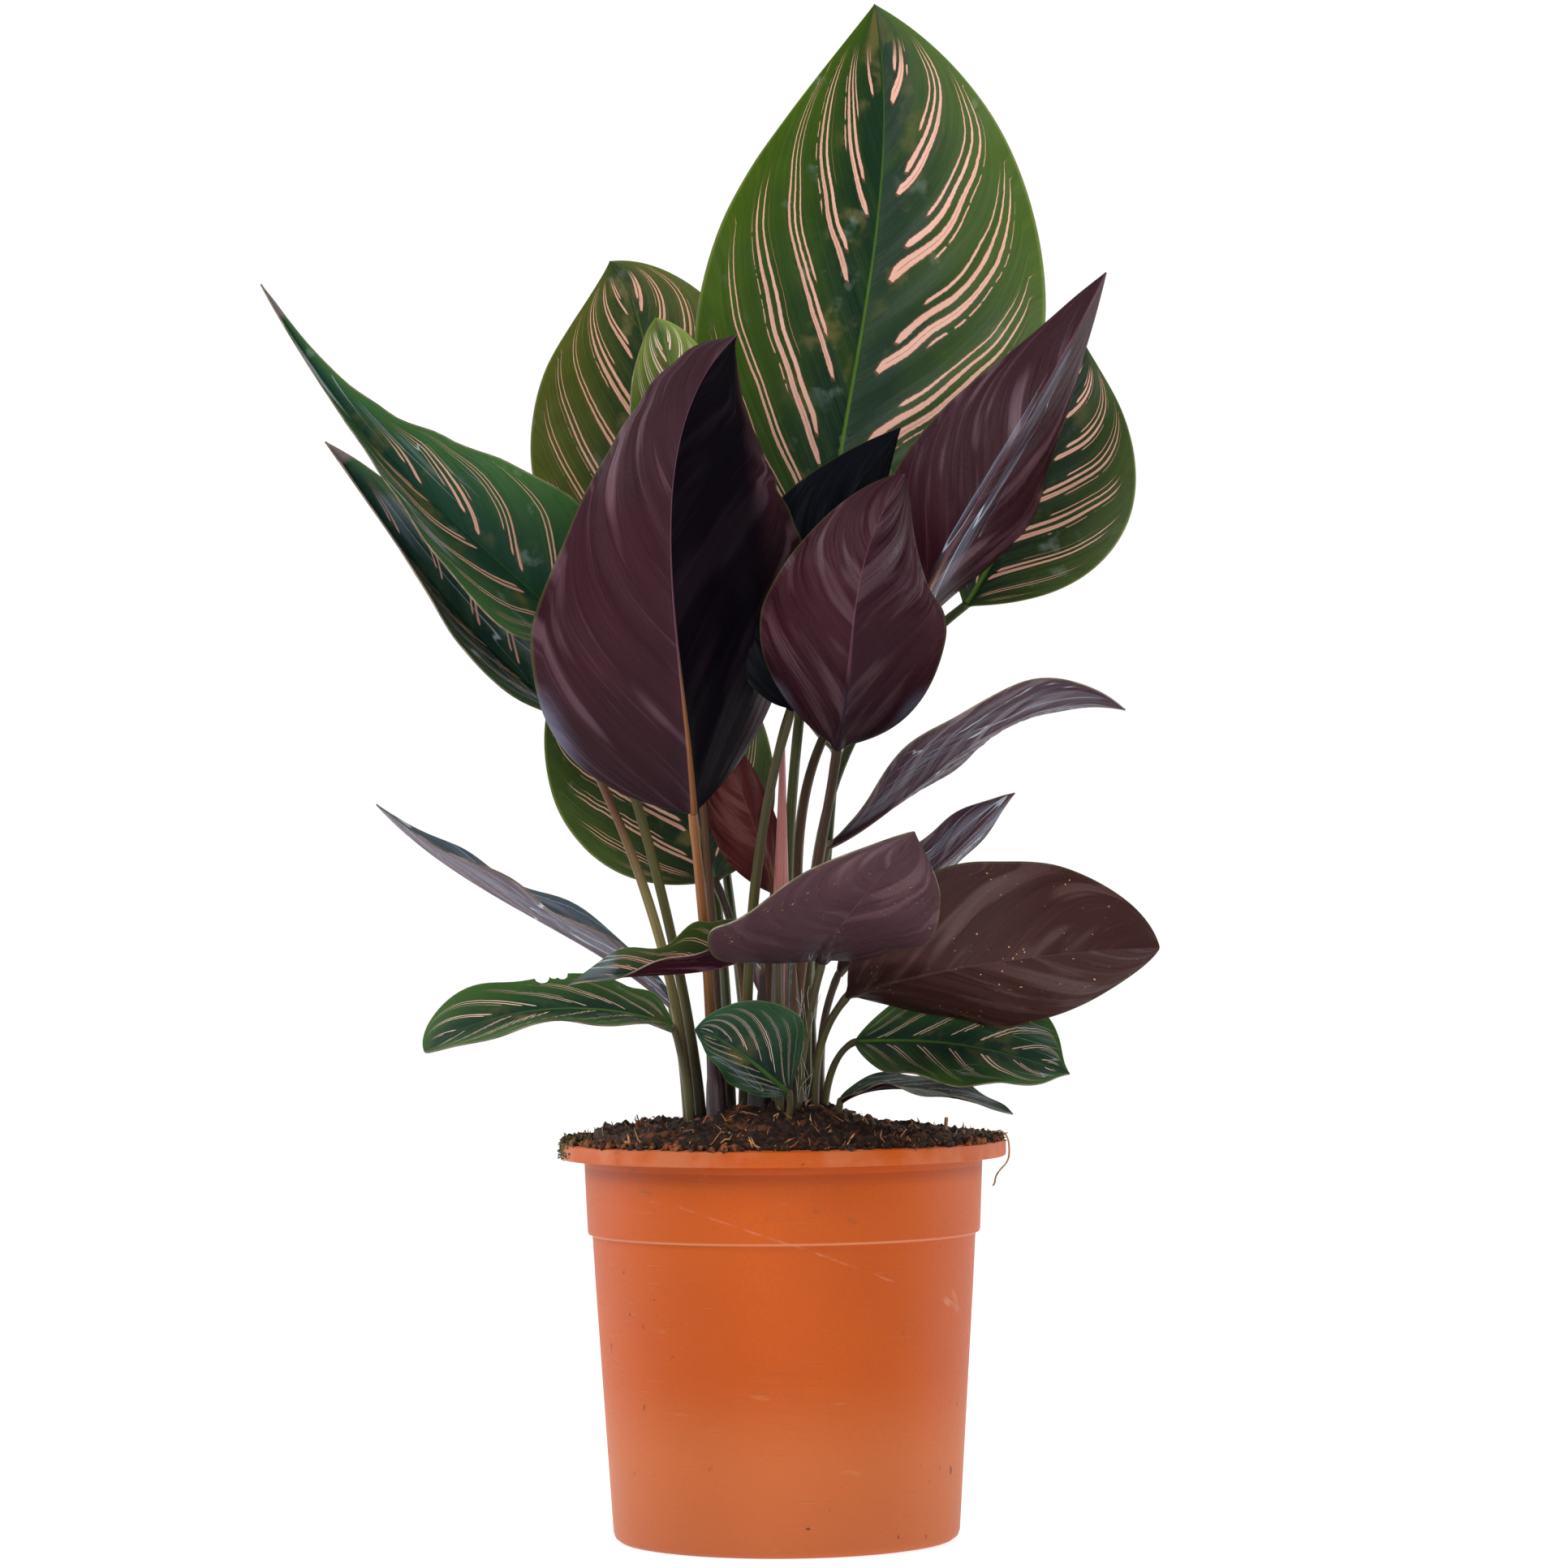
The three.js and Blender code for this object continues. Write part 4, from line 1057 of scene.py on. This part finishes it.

# %% [markdown]
# ## The wine red underside
# Underneath, the blade is smooth and dark, and what shows its veins is gloss: the surface is
# faintly fluted, so highlights break up into streaks, and pale streaks of painted highlight are
# laid where it is glossiest. The colour is drawn along the veins and so is the relief, and the
# midrib keeps the colour of the stalk for the first part of its length. Painted shade darkens a
# half that lies under other leaves, and the lower part of some blades.

# %% Paint the undersides
def under_finish(name, dark, wine, pale, stalk_colour, gloss=0.3, dust_and_painted_light=0.0, streaks=0.5, rib=0.8,
                 lit_from=0.196):
    material, tree, skin = new_finish(name)
    place = place_in(tree, "Object")
    reach, side, u, run = along_the_veins(tree)
    number, from_rib, breadth = (own(tree, label) for label in ("draw", "from_rib", "breadth"))
    fine, broad = vein_clouds(tree, run, reach, side + number)
    mottle = clouds(place, 0.02, 4)
    flat_spots = clouds(vector(tree, run * 9, reach * 1.1, side * 3 + number), 1.0, 2)
    glossy = flat_spots.rise(0.50, 0.64) * breadth
    shaded = own(tree, "gloom") * reach.rise(0.6, 0.95).flip()
    colour = cover(
        blend(mottle * 0.5 + broad * 0.5, paint(dark), paint(wine)),
        # painted highlights: pale streaks where the blade is glossy
        (glossy * (fine * 0.7 + 0.3) * streaks, pale),
        (fine.rise(0.58, 0.8) * streaks * 0.6, pale),
        (fine.rise(0.2, 0.42).flip() * 0.4, dark),
        (u.rise(0.02, 0.30).flip() * 0.5, dark),
        # painted shade where a half lies under other leaves
        (shaded, "07080f"),
    )
    shine = (glossy * 0.22 + 0.10) * (shaded * -0.97 + 1)
    join(tree, shine, skin.inputs["Specular IOR Level"])
    half_rib = (u * -1 + 1).work("POWER", 3.5) * 1.2 + 0.16
    line = from_rib.rise(half_rib * 0.7, half_rib).flip() * (u.rise(0.2, 0.34) * -0.5 + 1) * rib
    rib_colour = blend(u.rise(0.2, 0.34), paint(stalk_colour), paint(pale))
    colour = blend(line, colour, rib_colour)
    if dust_and_painted_light:
        height = parts_of(place)[2]
        # painted shade: the blade darker below the height lit_from; the specks are real dust
        below = height.rise(lit_from - 0.04, lit_from).flip() * 0.5
        specks = clouds(place, 0.0011, 1).rise(0.735, 0.755) * clouds(place, 0.012, 2).rise(0.48, 0.6)
        colour = cover(colour, (below, dark), (specks * dust_and_painted_light, "c9a56a"))
    colour = cover(colour, (reach.rise(0.965, 0.99) * 0.35, "54592c"))
    colour = glint(tree, colour, side, u)
    swells = clouds(vector(tree, run * 5, reach * 1.1, side + number), 1.0, 1) * breadth
    relief = fine * 0.3 + broad * 1.1 + swells * 2.4 + clouds(place, 0.0011, 2) * 0.08
    wear(skin, colour, relief, 0.0013, fine * 0.2 + mottle * 0.14 + gloss)
    return material


UNDERS = {
    "wine": under_finish("wine_underside", "1b0911", "3f1823", "84596a", "8a5a3a", streaks=0.42),
    "plum": under_finish("plum_underside", "210b14", "451e29", "744857", "2a1722", streaks=0.3, rib=0.95),
    # painted shade: a near black underside for the blade that lies deep in the shade of the others
    "night": under_finish("shaded_underside", "060911", "0b0f18", "18202c", "22242a", streaks=0.3),
    "grey": under_finish("grey_underside", "2d1b23", "4d3541", "8a7682", "6b5a4a", streaks=0.55),
    "silver": under_finish("silver_underside", "4a3e46", "766a73", "aaa2ab", "6b5a4a", streaks=0.5),
    "dusty": under_finish("dusty_underside", "2b1614", "4a2c29", "76504a", "4a352c", 0.38, 0.9, 0.3, 0.35),
    "mauve": under_finish("mauve_underside", "36222a", "5c3f46", "886369", "5a4638", 0.38, 0.9, 0.3, 0.35,
                          0.214),
    "rust": under_finish("rust_underside", "43181c", "6a2b2c", "8c4c40", "7a4a30"),
}


def edge_finish():
    material, tree, skin = new_finish("leaf_edge", Roughness=0.5)
    place = place_in(tree, "Object")
    colour = blend(clouds(place, 0.006, 2).rise(0.3, 0.7), paint("3c3d24"), paint("8a7464"))
    wear(skin, colour, clouds(place, 0.001, 1), 0.0001)
    return material


leaf_edge = edge_finish()
print("underside finishes:", sorted(UNDERS))

# %% [markdown]
# ## Modelling one blade
# A flat grid is bent into the blade, and the Solidify modifier gives it a thickness, a second
# material for the underside and a third for the edge. The underside of a real blade has a raised
# midrib that continues the stalk, so the lower points near the middle are pushed out in a ridge.

# %% Model every blade
BLADE_THICKNESS = 0.5
ROWS, ROWS_OF_SMALL, HALF_COLUMNS = 72, 56, 14


def model_blade(name, described, draw_number):
    rows = ROWS if max(described["half"]) > 20 else ROWS_OF_SMALL
    select_nothing()
    bpy.ops.mesh.primitive_grid_add(x_subdivisions=2 * HALF_COLUMNS, y_subdivisions=rows, size=2)
    blade = bpy.context.object
    flat = points_of(blade)
    u = (1 - np.cos(np.pi * (flat[:, 1] + 1) / 2)) / 2
    across = np.sign(flat[:, 0]) * np.abs(flat[:, 0]) ** 1.6
    points, out, from_rib, breadth = bend_blade(described, u, across, draw_number)
    move_points(blade, points * MM)
    sheet_map = blade.data.uv_layers.active.data
    for loop in blade.data.loops:
        i = loop.vertex_index
        sheet_map[loop.index].uv = (across[i] / 2 + 0.5, u[i])
    pick = (across > 0).astype(int)
    own_values = {
        "from_rib": from_rib,
        "breadth": breadth,
        "draw": np.full(len(u), draw_number),
        "sweep": np.array(described["sweep"], float)[pick],
        "gloom": np.array(described["gloom"], float)[pick],
        "sheen": glints(described, u, across),
    }
    for label, values in own_values.items():
        stored = blade.data.attributes.new(label, "FLOAT", "POINT")
        stored.data.foreach_set("value", values.astype(np.float32))
    for finish in (UPPERS[described["upper"]], UNDERS[described["under"]], leaf_edge):
        blade.data.materials.append(finish)
    use_modifier(
        blade, "SOLIDIFY", thickness=BLADE_THICKNESS * MM, offset=0,
        material_offset=1, material_offset_rim=2,
    )
    places = points_of(blade)
    lower = places[len(u) :]
    ridge = described["stalk"][1] * 0.85 * (1 - u) ** 3 + 0.15
    wide = described["stalk"][1] * 0.8 * (1 - u) ** 3 + 0.3
    bulge = ridge * np.sqrt(np.clip(1 - (from_rib / (wide * 1.25)) ** 2, 0, 1)) * (1 - u**8)
    lower -= (bulge * MM)[:, None] * out
    groove = 0.35 * np.exp(-((from_rib / 1.2) ** 2)) * (1 - u)
    places[: len(u)] -= (groove * MM)[:, None] * out
    move_points(blade, places)
    return settle(blade, f"{name}_leaf", [f"{name}_blade"], smooth=70)


blades = {}
for name, described in LEAVES.items():
    blades[name] = model_blade(name, described, draw_number_of(name))
print("blades:", len(blades), "faces in all:", sum(len(b.data.polygons) for b in blades.values()))

# %% [markdown]
# ## Bites
# Something has eaten three small notches into the upper edge of the low left blade. They could be
# left out of the grid, but then they would be square. Cut with small balls they are round.

# %% Cut the bites
BITES = [(0.452, 2.1), (0.478, 1.6), (0.516, 2.5)]  # how far along the edge, and the radius

bitten = LEAVES["skirt_left"]
for way, radius in BITES:
    along, edge = np.array([way]), np.array([1.0])
    edge_point = bend_blade(bitten, along, edge, draw_number_of("skirt_left"))[0][0]
    select_nothing()
    bpy.ops.mesh.primitive_ico_sphere_add(
        subdivisions=2, radius=radius * MM, location=[c * MM for c in edge_point]
    )
    cut_away(blades["skirt_left"], bpy.context.object)
print("bites cut:", len(BITES))

# %% [markdown]
# ## Stalks
# A stalk is a long rod that thins towards the blade and swells a little at the joint just below
# it. A bevelled curve would do, but its thickness is awkward to change along the way. So a grid
# is rolled round the stalk's course, with a radius for each row.

# %% Model every stalk
STALK_FOOT = 113
STALK_ROWS = 44


def model_stalk(name, described):
    t = np.linspace(0, 1, STALK_ROWS + 1)
    course = [(*described["foot"], STALK_FOOT), *described["bend"], described["rib"][0]]
    path = curve_through(course, t)
    ahead = directions(described, np.array([0.01]))[0][0]
    tail = [path[-1] + ahead * step for step in (0.5, 1.1)]
    path = np.vstack([path[:1], path, tail])
    thick, thin = described["stalk"]
    radii = 0.78 * (thick + (thin - thick) * t)
    above = path[1:-2, 2] - SOIL_CROWN
    radii = radii * (1 + 0.12 * np.exp(-((above / 16) ** 2)))  # thicker where it leaves the soil
    radii *= 1 + 0.10 * np.exp(-(((t - 0.955) / 0.03) ** 2))  # the joint under the blade
    radii *= 1 + 0.03 * np.sin(t * 17 + thick * 40)  # no stalk is quite even
    radii = np.concatenate([[0], radii, [thin * 0.75, 0]])
    stalk = rolled_tube(path, radii, 14)
    return settle(stalk, f"{name}_stem", [f"{name}_stalk"], smooth=80)


stems = {name: model_stalk(name, described) for name, described in LEAVES.items()}
print("stalks:", len(stems))

# %% [markdown]
# ## The skin of the stalks
# A stalk is brown where it leaves the soil, darkened there by painted shade, and green, olive or
# orange brown further up, and it changes once more under the blade. Its fibres show as fine
# streaks. An image could be wrapped
# round it. Here the stalk's own UV map says how far up a point is, so three colours are blended
# along it, and noise drawn out along the map gives the streaks.

# %% Paint the stalks
def stalk_finish(name, low, middle, high):
    """Three colours up the stalk, with fine streaks along it."""
    material, tree, skin = new_finish(
        name, Coat_Weight=0.05, Coat_Roughness=0.25, Specular_IOR_Level=0.2
    )
    place = place_in(tree, "Object")
    around, along, _ = parts_of(place_in(tree, "UV"))
    streak = clouds(vector(tree, around * 14, along * 2.2, parts_of(place)[0] * 40), 1.0, 3)
    spots = clouds(place, 0.0016, 2).rise(0.68, 0.76)
    colour = cover(
        # the first colour, at the soil, is partly painted shade
        blend(along.rise(0.12, 0.55), paint(low), paint(middle)),
        (along.rise(0.5, 0.8), high),
        (streak.rise(0.35, 0.75) * 0.5, "3b3320"),
        (streak.rise(0.6, 0.85) * 0.35, "a0936a"),
        (spots * 0.5, "6a3d24"),
    )
    wear(skin, colour, streak + clouds(place, 0.0009, 2) * 0.3, 0.0004, streak * 0.2 + 0.28)
    return material


# the first colour of each, at the soil, is darkened partly as painted shade
STEMS = {
    "olive": stalk_finish("olive_stalk", "3d381d", "656136", "585235"),
    "ripe": stalk_finish("ripe_stalk", "5a5030", "877a4c", "66402f"),
    "green": stalk_finish("green_stalk", "2a261a", "4b5629", "3c4a26"),
    "brown": stalk_finish("brown_stalk", "2c1d1a", "6b4a35", "463228"),
    "orange": stalk_finish("orange_stalk", "33231a", "86572f", "98613a"),
}
for name, stem in stems.items():
    stem.data.materials.append(STEMS[LEAVES[name]["stem"]])
print("stalks painted:", len(stems))

# %% [markdown]
# ## The rolled young leaf and the old sheaths
# One new leaf is still rolled up, pink and pointed. Round the feet of the stalks stand dry
# sheaths, flat and dark, that ended in points when their leaves fell. A cone would be too
# regular, so each is a tube whose section is pressed flat and overlaps itself like a rolled
# leaf, and whose last rings draw together in a point.

# %% Model the spear and the sheaths
def model_spike(name, path, radii, flat=1.0, overlap=0.0, rows=40, sides=24):
    t = np.linspace(0, 1, rows + 1)
    course = curve_through(path, t)
    radius = np.interp(t, (0, 1 / 3, 2 / 3, 1), radii)
    radius *= 1 + 0.04 * np.sin(9 * t + radii[0])
    turn = 2 * np.pi * np.arange(sides + 1) / sides
    section = 1 / np.hypot(np.cos(turn), np.sin(turn) / flat)
    rolled = overlap * ((turn / (2 * np.pi) + 0.25) % 1.0)
    table = radius[:, None] * section * (1 - overlap / 2 + rolled)
    table = np.vstack([np.zeros(sides + 1), table, np.zeros(sides + 1)])
    table[-2] *= 0.5
    course = np.vstack([course[:1], course, course[-1:] + (course[-1:] - course[-2:-1]) * 0.6])
    spike = rolled_tube(course, table, sides)
    return settle(spike, name, [name.replace("_piece", "")], smooth=50)


spear = model_spike(
    "spear_piece", [(-2, -5, STALK_FOOT), (-1, -5, 160), (0, -5, 205), (1, -5, 252)],
    (2.3, 2.4, 2.3, 0.7), 0.85, 0.22,
)
SHEATHS = {  # the course, the radii and the colours of each
    "sheath_left": (
        [(-21, -13.5, STALK_FOOT), (-21, -13.5, 128), (-21.5, -13, 143), (-22, -13, 157)],
        (3.1, 3.1, 2.4, 0.6), ("1e1216", "3a2026", "4b3034"),
    ),
    "sheath_middle": (
        [(-8.5, -7.5, STALK_FOOT), (-8, -7.5, 135), (-7, -7.5, 157), (-6, -7.5, 180)],
        (3.6, 3.4, 2.6, 0.7), ("150d14", "2c1620", "40242c"),
    ),
    "sheath_right": (
        [(4, -5.5, STALK_FOOT), (4.2, -5.5, 135), (4.2, -5.5, 157), (4, -5.5, 180)],
        (2.5, 2.5, 2.1, 0.6), ("3c2418", "5e3c2a", "8a6446"),
    ),
}
sheaths = [
    model_spike(f"{name}_piece", path, radii, 0.7, 0.16)
    for name, (path, radii, _) in SHEATHS.items()
]
print("sheaths:", len(sheaths))

# %% [markdown]
# ## Pink and papery
# The rolled leaf is pink above its brown foot, and the old sheaths are dark and papery. Each
# could have a finish of its own, but both show long fibres, so one function makes them all: two
# colours up the piece, a brown tip, and streaks from noise drawn out along the UV map.

# %% Paint the spear and the sheaths
def dry_finish(name, low, high, streak_colour, gloss=0.4):
    material, tree, skin = new_finish(name, Coat_Weight=0.15, Coat_Roughness=0.3)
    place = place_in(tree, "Object")
    around, along, _ = parts_of(place_in(tree, "UV"))
    streak = clouds(vector(tree, around * 20, along * 3, 0.3), 1.0, 3)
    colour = cover(
        blend(along.rise(0.48, 0.68), paint(low), paint(high)),
        (along.rise(0.93, 0.97), "6f5228"),
        (streak.rise(0.4, 0.75) * 0.6, streak_colour),
        (clouds(place, 0.004, 3).rise(0.58, 0.7) * 0.3, "2a1614"),
    )
    wear(skin, colour, streak, 0.0007, streak * 0.25 + gloss - 0.1)
    return material


spear.data.materials.append(dry_finish("pink_spear", "2e1a18", "c0706c", "e0a196", 0.35))
for sheath, (_, _, colours) in zip(sheaths, SHEATHS.values()):
    sheath.data.materials.append(dry_finish(f"{sheath.name}_finish", *colours))
print("spear and sheaths painted")

# %% [markdown]
# ## Litter on the rim
# When the plant was watered, crumbs and moss washed over the rim. They lie on the flat top of
# the rim, thickest at the two sides, and a little moss hangs over on the left.

# %% Scatter crumbs and moss over the rim
RIM_TOP, RIM_RADIUS = 125, 69.9
RIM_CRUMBS, MOSS_ON_TOP, MOSS_OUTSIDE = 900, 620, 130


def beside_the_rim(spread):
    """A random spot on the rim, likelier at the left and right sides of the pot."""
    turn = draw.choice([0, math.pi]) + draw.normal() * spread
    radius = draw.uniform(60.5, 69.3)
    return radius * math.cos(turn), radius * math.sin(turn)


rim_crumbs = []
for _ in range(RIM_CRUMBS):
    x, y = beside_the_rim(0.9)
    size = draw.uniform(0.3, 1.5)
    rim_crumbs.append(one_crumb(x, y, RIM_TOP + 0.45 * size, size, 0.2))
rim_litter = bake_copies("rim_litter", rim_crumbs, crumb_faces)
settle(rim_litter, "rim_litter", smooth=80)
rim_litter.data.materials.append(crumb_heap.data.materials[0])


def tuft_thread(x, y, z, reach, droop):
    """A short curved thread that starts at a point and leans the way it is told."""
    path = [np.array((x, y, z), float)]
    way = draw.normal(size=3) * (1, 1, 0.5) + (0, 0, 0.5)
    way /= np.linalg.norm(way)
    for _ in range(4):
        way = way + draw.normal(size=3) * 0.35 + (0, 0, -droop)
        way /= np.linalg.norm(way)
        path.append(path[-1] + way * reach / 4)
    return path


moss_paths = []
for _ in range(MOSS_ON_TOP):
    x, y = beside_the_rim(0.38)
    if x > 0 and draw.uniform() < 0.5:
        continue
    moss_paths.append(tuft_thread(x, y, RIM_TOP + draw.uniform(0.1, 1.6), draw.uniform(1.0, 2.6), 0.1))
for _ in range(MOSS_OUTSIDE):
    turn = math.pi + 0.17 + draw.normal() * 0.09
    x, y = RIM_RADIUS * math.cos(turn), RIM_RADIUS * math.sin(turn)
    moss_paths.append(tuft_thread(x, y, draw.uniform(120.5, 125.5), draw.uniform(0.8, 1.8), 0.3))
moss = bundle("rim_moss", moss_paths, draw.uniform(0.12, 0.28, len(moss_paths)))
moss.data.materials.append(fibre_finish("moss", "2e2a14", "6c6a2c"))
print("crumbs on the rim:", len(rim_crumbs), "moss threads:", len(moss_paths))

# %% [markdown]
# ## Roots and threads
# One thin root has grown out over the right of the rim and hangs down outside, and a stub of
# bark stands up beside it. A frayed tuft stands on the left, short roots lie over the front of
# the soil, and pale threads run up between the stalks. They could be drawn as curves. Thin tubes
# bent along points do the same, and the helper for the fibres makes them.

# %% Grow the loose roots
ROOT_OVER_RIM = [
    (60.5, -8, 124.2), (63.0, -8, 125.6), (64.8, -8, 126.4), (67.6, -8, 128.2), (69.9, -8, 126.6),
    (70.7, -8, 124.3), (70.8, -8, 120.5), (70.2, -8, 118.0), (67.4, -8, 115.2), (66.3, -8, 113.2),
    (66.2, -8, 111.6), (65.4, -8, 110.4),
]


ROOT_STEPS = 36
TUFT_ROOTS, SOIL_ROOTS, THREADS = 16, 34, 20


def smooth_path(points, steps):
    """A path of that many steps through the given points."""
    points = np.array(points, float)
    at = np.arange(len(points))
    where = np.linspace(0, len(points) - 1, steps + 1)
    path = np.stack([np.interp(where, at, points[:, axis]) for axis in range(3)], axis=1)
    for _ in range(2):
        path[1:-1] = (path[:-2] + 2 * path[1:-1] + path[2:]) / 4
    return path


CHIP = [(51, -8, 121.5), (51.4, -8, 125), (50.9, -8, 129), (51.2, -8, 132.3)]
loose_roots = [smooth_path(ROOT_OVER_RIM, ROOT_STEPS), smooth_path(CHIP, ROOT_STEPS)]
root_sizes = [0.3, 0.62]
for _ in range(TUFT_ROOTS):
    start = np.array((-43, -12, lumpy(-43, -12))) + draw.normal(size=3) * (1.2, 2, 0.4)
    middle = start + (draw.normal() * 1.6, draw.normal(), draw.uniform(3.5, 6))
    end = middle + (draw.normal() * 2.2, draw.normal() * 2, draw.uniform(0.5, 4.5))
    loose_roots.append(smooth_path([start, middle, end], ROOT_STEPS))
    root_sizes.append(draw.uniform(0.16, 0.34))
for _ in range(SOIL_ROOTS):
    x, y = draw.uniform(-42, 42), -draw.uniform(15, 42)
    start = np.array((x, y, lumpy(x, y)))
    over = start + (draw.normal() * 3.5, draw.normal() * 2, draw.uniform(2.5, 6))
    end = start + (draw.normal() * 6, draw.normal() * 4, draw.uniform(-0.5, 2.5))
    loose_roots.append(smooth_path([start, over, end], ROOT_STEPS))
    root_sizes.append(draw.uniform(0.14, 0.27))
roots = bundle("loose_roots", loose_roots, root_sizes)
roots.data.materials.append(fibre_finish("pale_root", "8c4f24", "dcae78"))

thread_paths = []
for _ in range(THREADS):
    foot = np.array((draw.uniform(4.5, 9.5), -15.5 + draw.normal() * 0.8, draw.uniform(136, 168)))
    path = [foot, foot + (draw.normal() * 1.2, draw.normal() * 0.5, draw.uniform(3, 7))]
    path.append(path[-1] + (draw.normal() * 1.6, draw.normal() * 0.6, draw.uniform(2, 6)))
    thread_paths.append(smooth_path(path, 12))
threads = bundle("pale_threads", thread_paths, [0.07] * len(thread_paths))
threads.data.materials.append(fibre_finish("pale_thread", "b9b3a4", "e8e6dd"))
print("loose roots:", len(loose_roots), "threads:", len(thread_paths))

# %% [markdown]
# ## Light and floor
# The photo was taken in even studio light that leaves hardly a shadow. Small lamps would draw
# hard ones, so the light here comes from four large soft lamps: the strongest in front on the
# left, a weak one in front, and one at each side for the pale edges of the leaves. The world is
# white to the camera and lights the plant mostly from behind. The plain pale floor glows by
# itself, so that it looks nearly white as in the photo.

# %% Light the studio
def soft_light(name, place, aim, width, height, power):
    bpy.ops.object.light_add(type="AREA", location=place)
    light = bpy.context.object
    light.name = name
    light.data.shape = "RECTANGLE"
    light.data.size, light.data.size_y = width, height
    light.data.energy = power
    light.rotation_euler = (Vector(aim) - Vector(place)).to_track_quat("-Z", "Y").to_euler()


soft_light("key", (-0.9, -0.95, 1.45), (0, 0, 0.25), 0.9, 0.9, 19)
soft_light("front", (0.15, -1.75, 0.5), (0, 0, 0.2), 0.5, 0.5, 5)
for name, side in (("left_wall", -1), ("right_wall", 1)):
    soft_light(name, (1.1 * side, 0.35, 0.5), (0, 0, 0.3), 0.9, 1.0, 6)

world = bpy.data.worlds.new("white_room")
world.use_nodes = True
sky = world.node_tree
background = sky.nodes["Background"]
background.inputs["Color"].default_value = (1, 1, 1, 1)
backwards = parts_of(place_in(sky, "Generated"))[1]
seen = Wire(sky, sky.nodes.new("ShaderNodeLightPath").outputs["Is Camera Ray"])
join(sky, (backwards.rise(-0.3, 0.45) * 0.85 + 0.12).most(seen * 1.02), background.inputs["Strength"])
bpy.context.scene.world = world
bpy.context.scene.view_settings.view_transform = "Standard"

select_nothing()
bpy.ops.mesh.primitive_plane_add(size=14)
floor = bpy.context.object
floor.name = "pale_floor"
paper = new_finish(
    "pale_paper", Roughness=0.9, Base_Color=(0.5, 0.5, 0.5, 1), Specular_IOR_Level=0.0,
    Emission_Color=(1, 1, 1, 1), Emission_Strength=0.76,
)
floor.data.materials.append(paper[0])
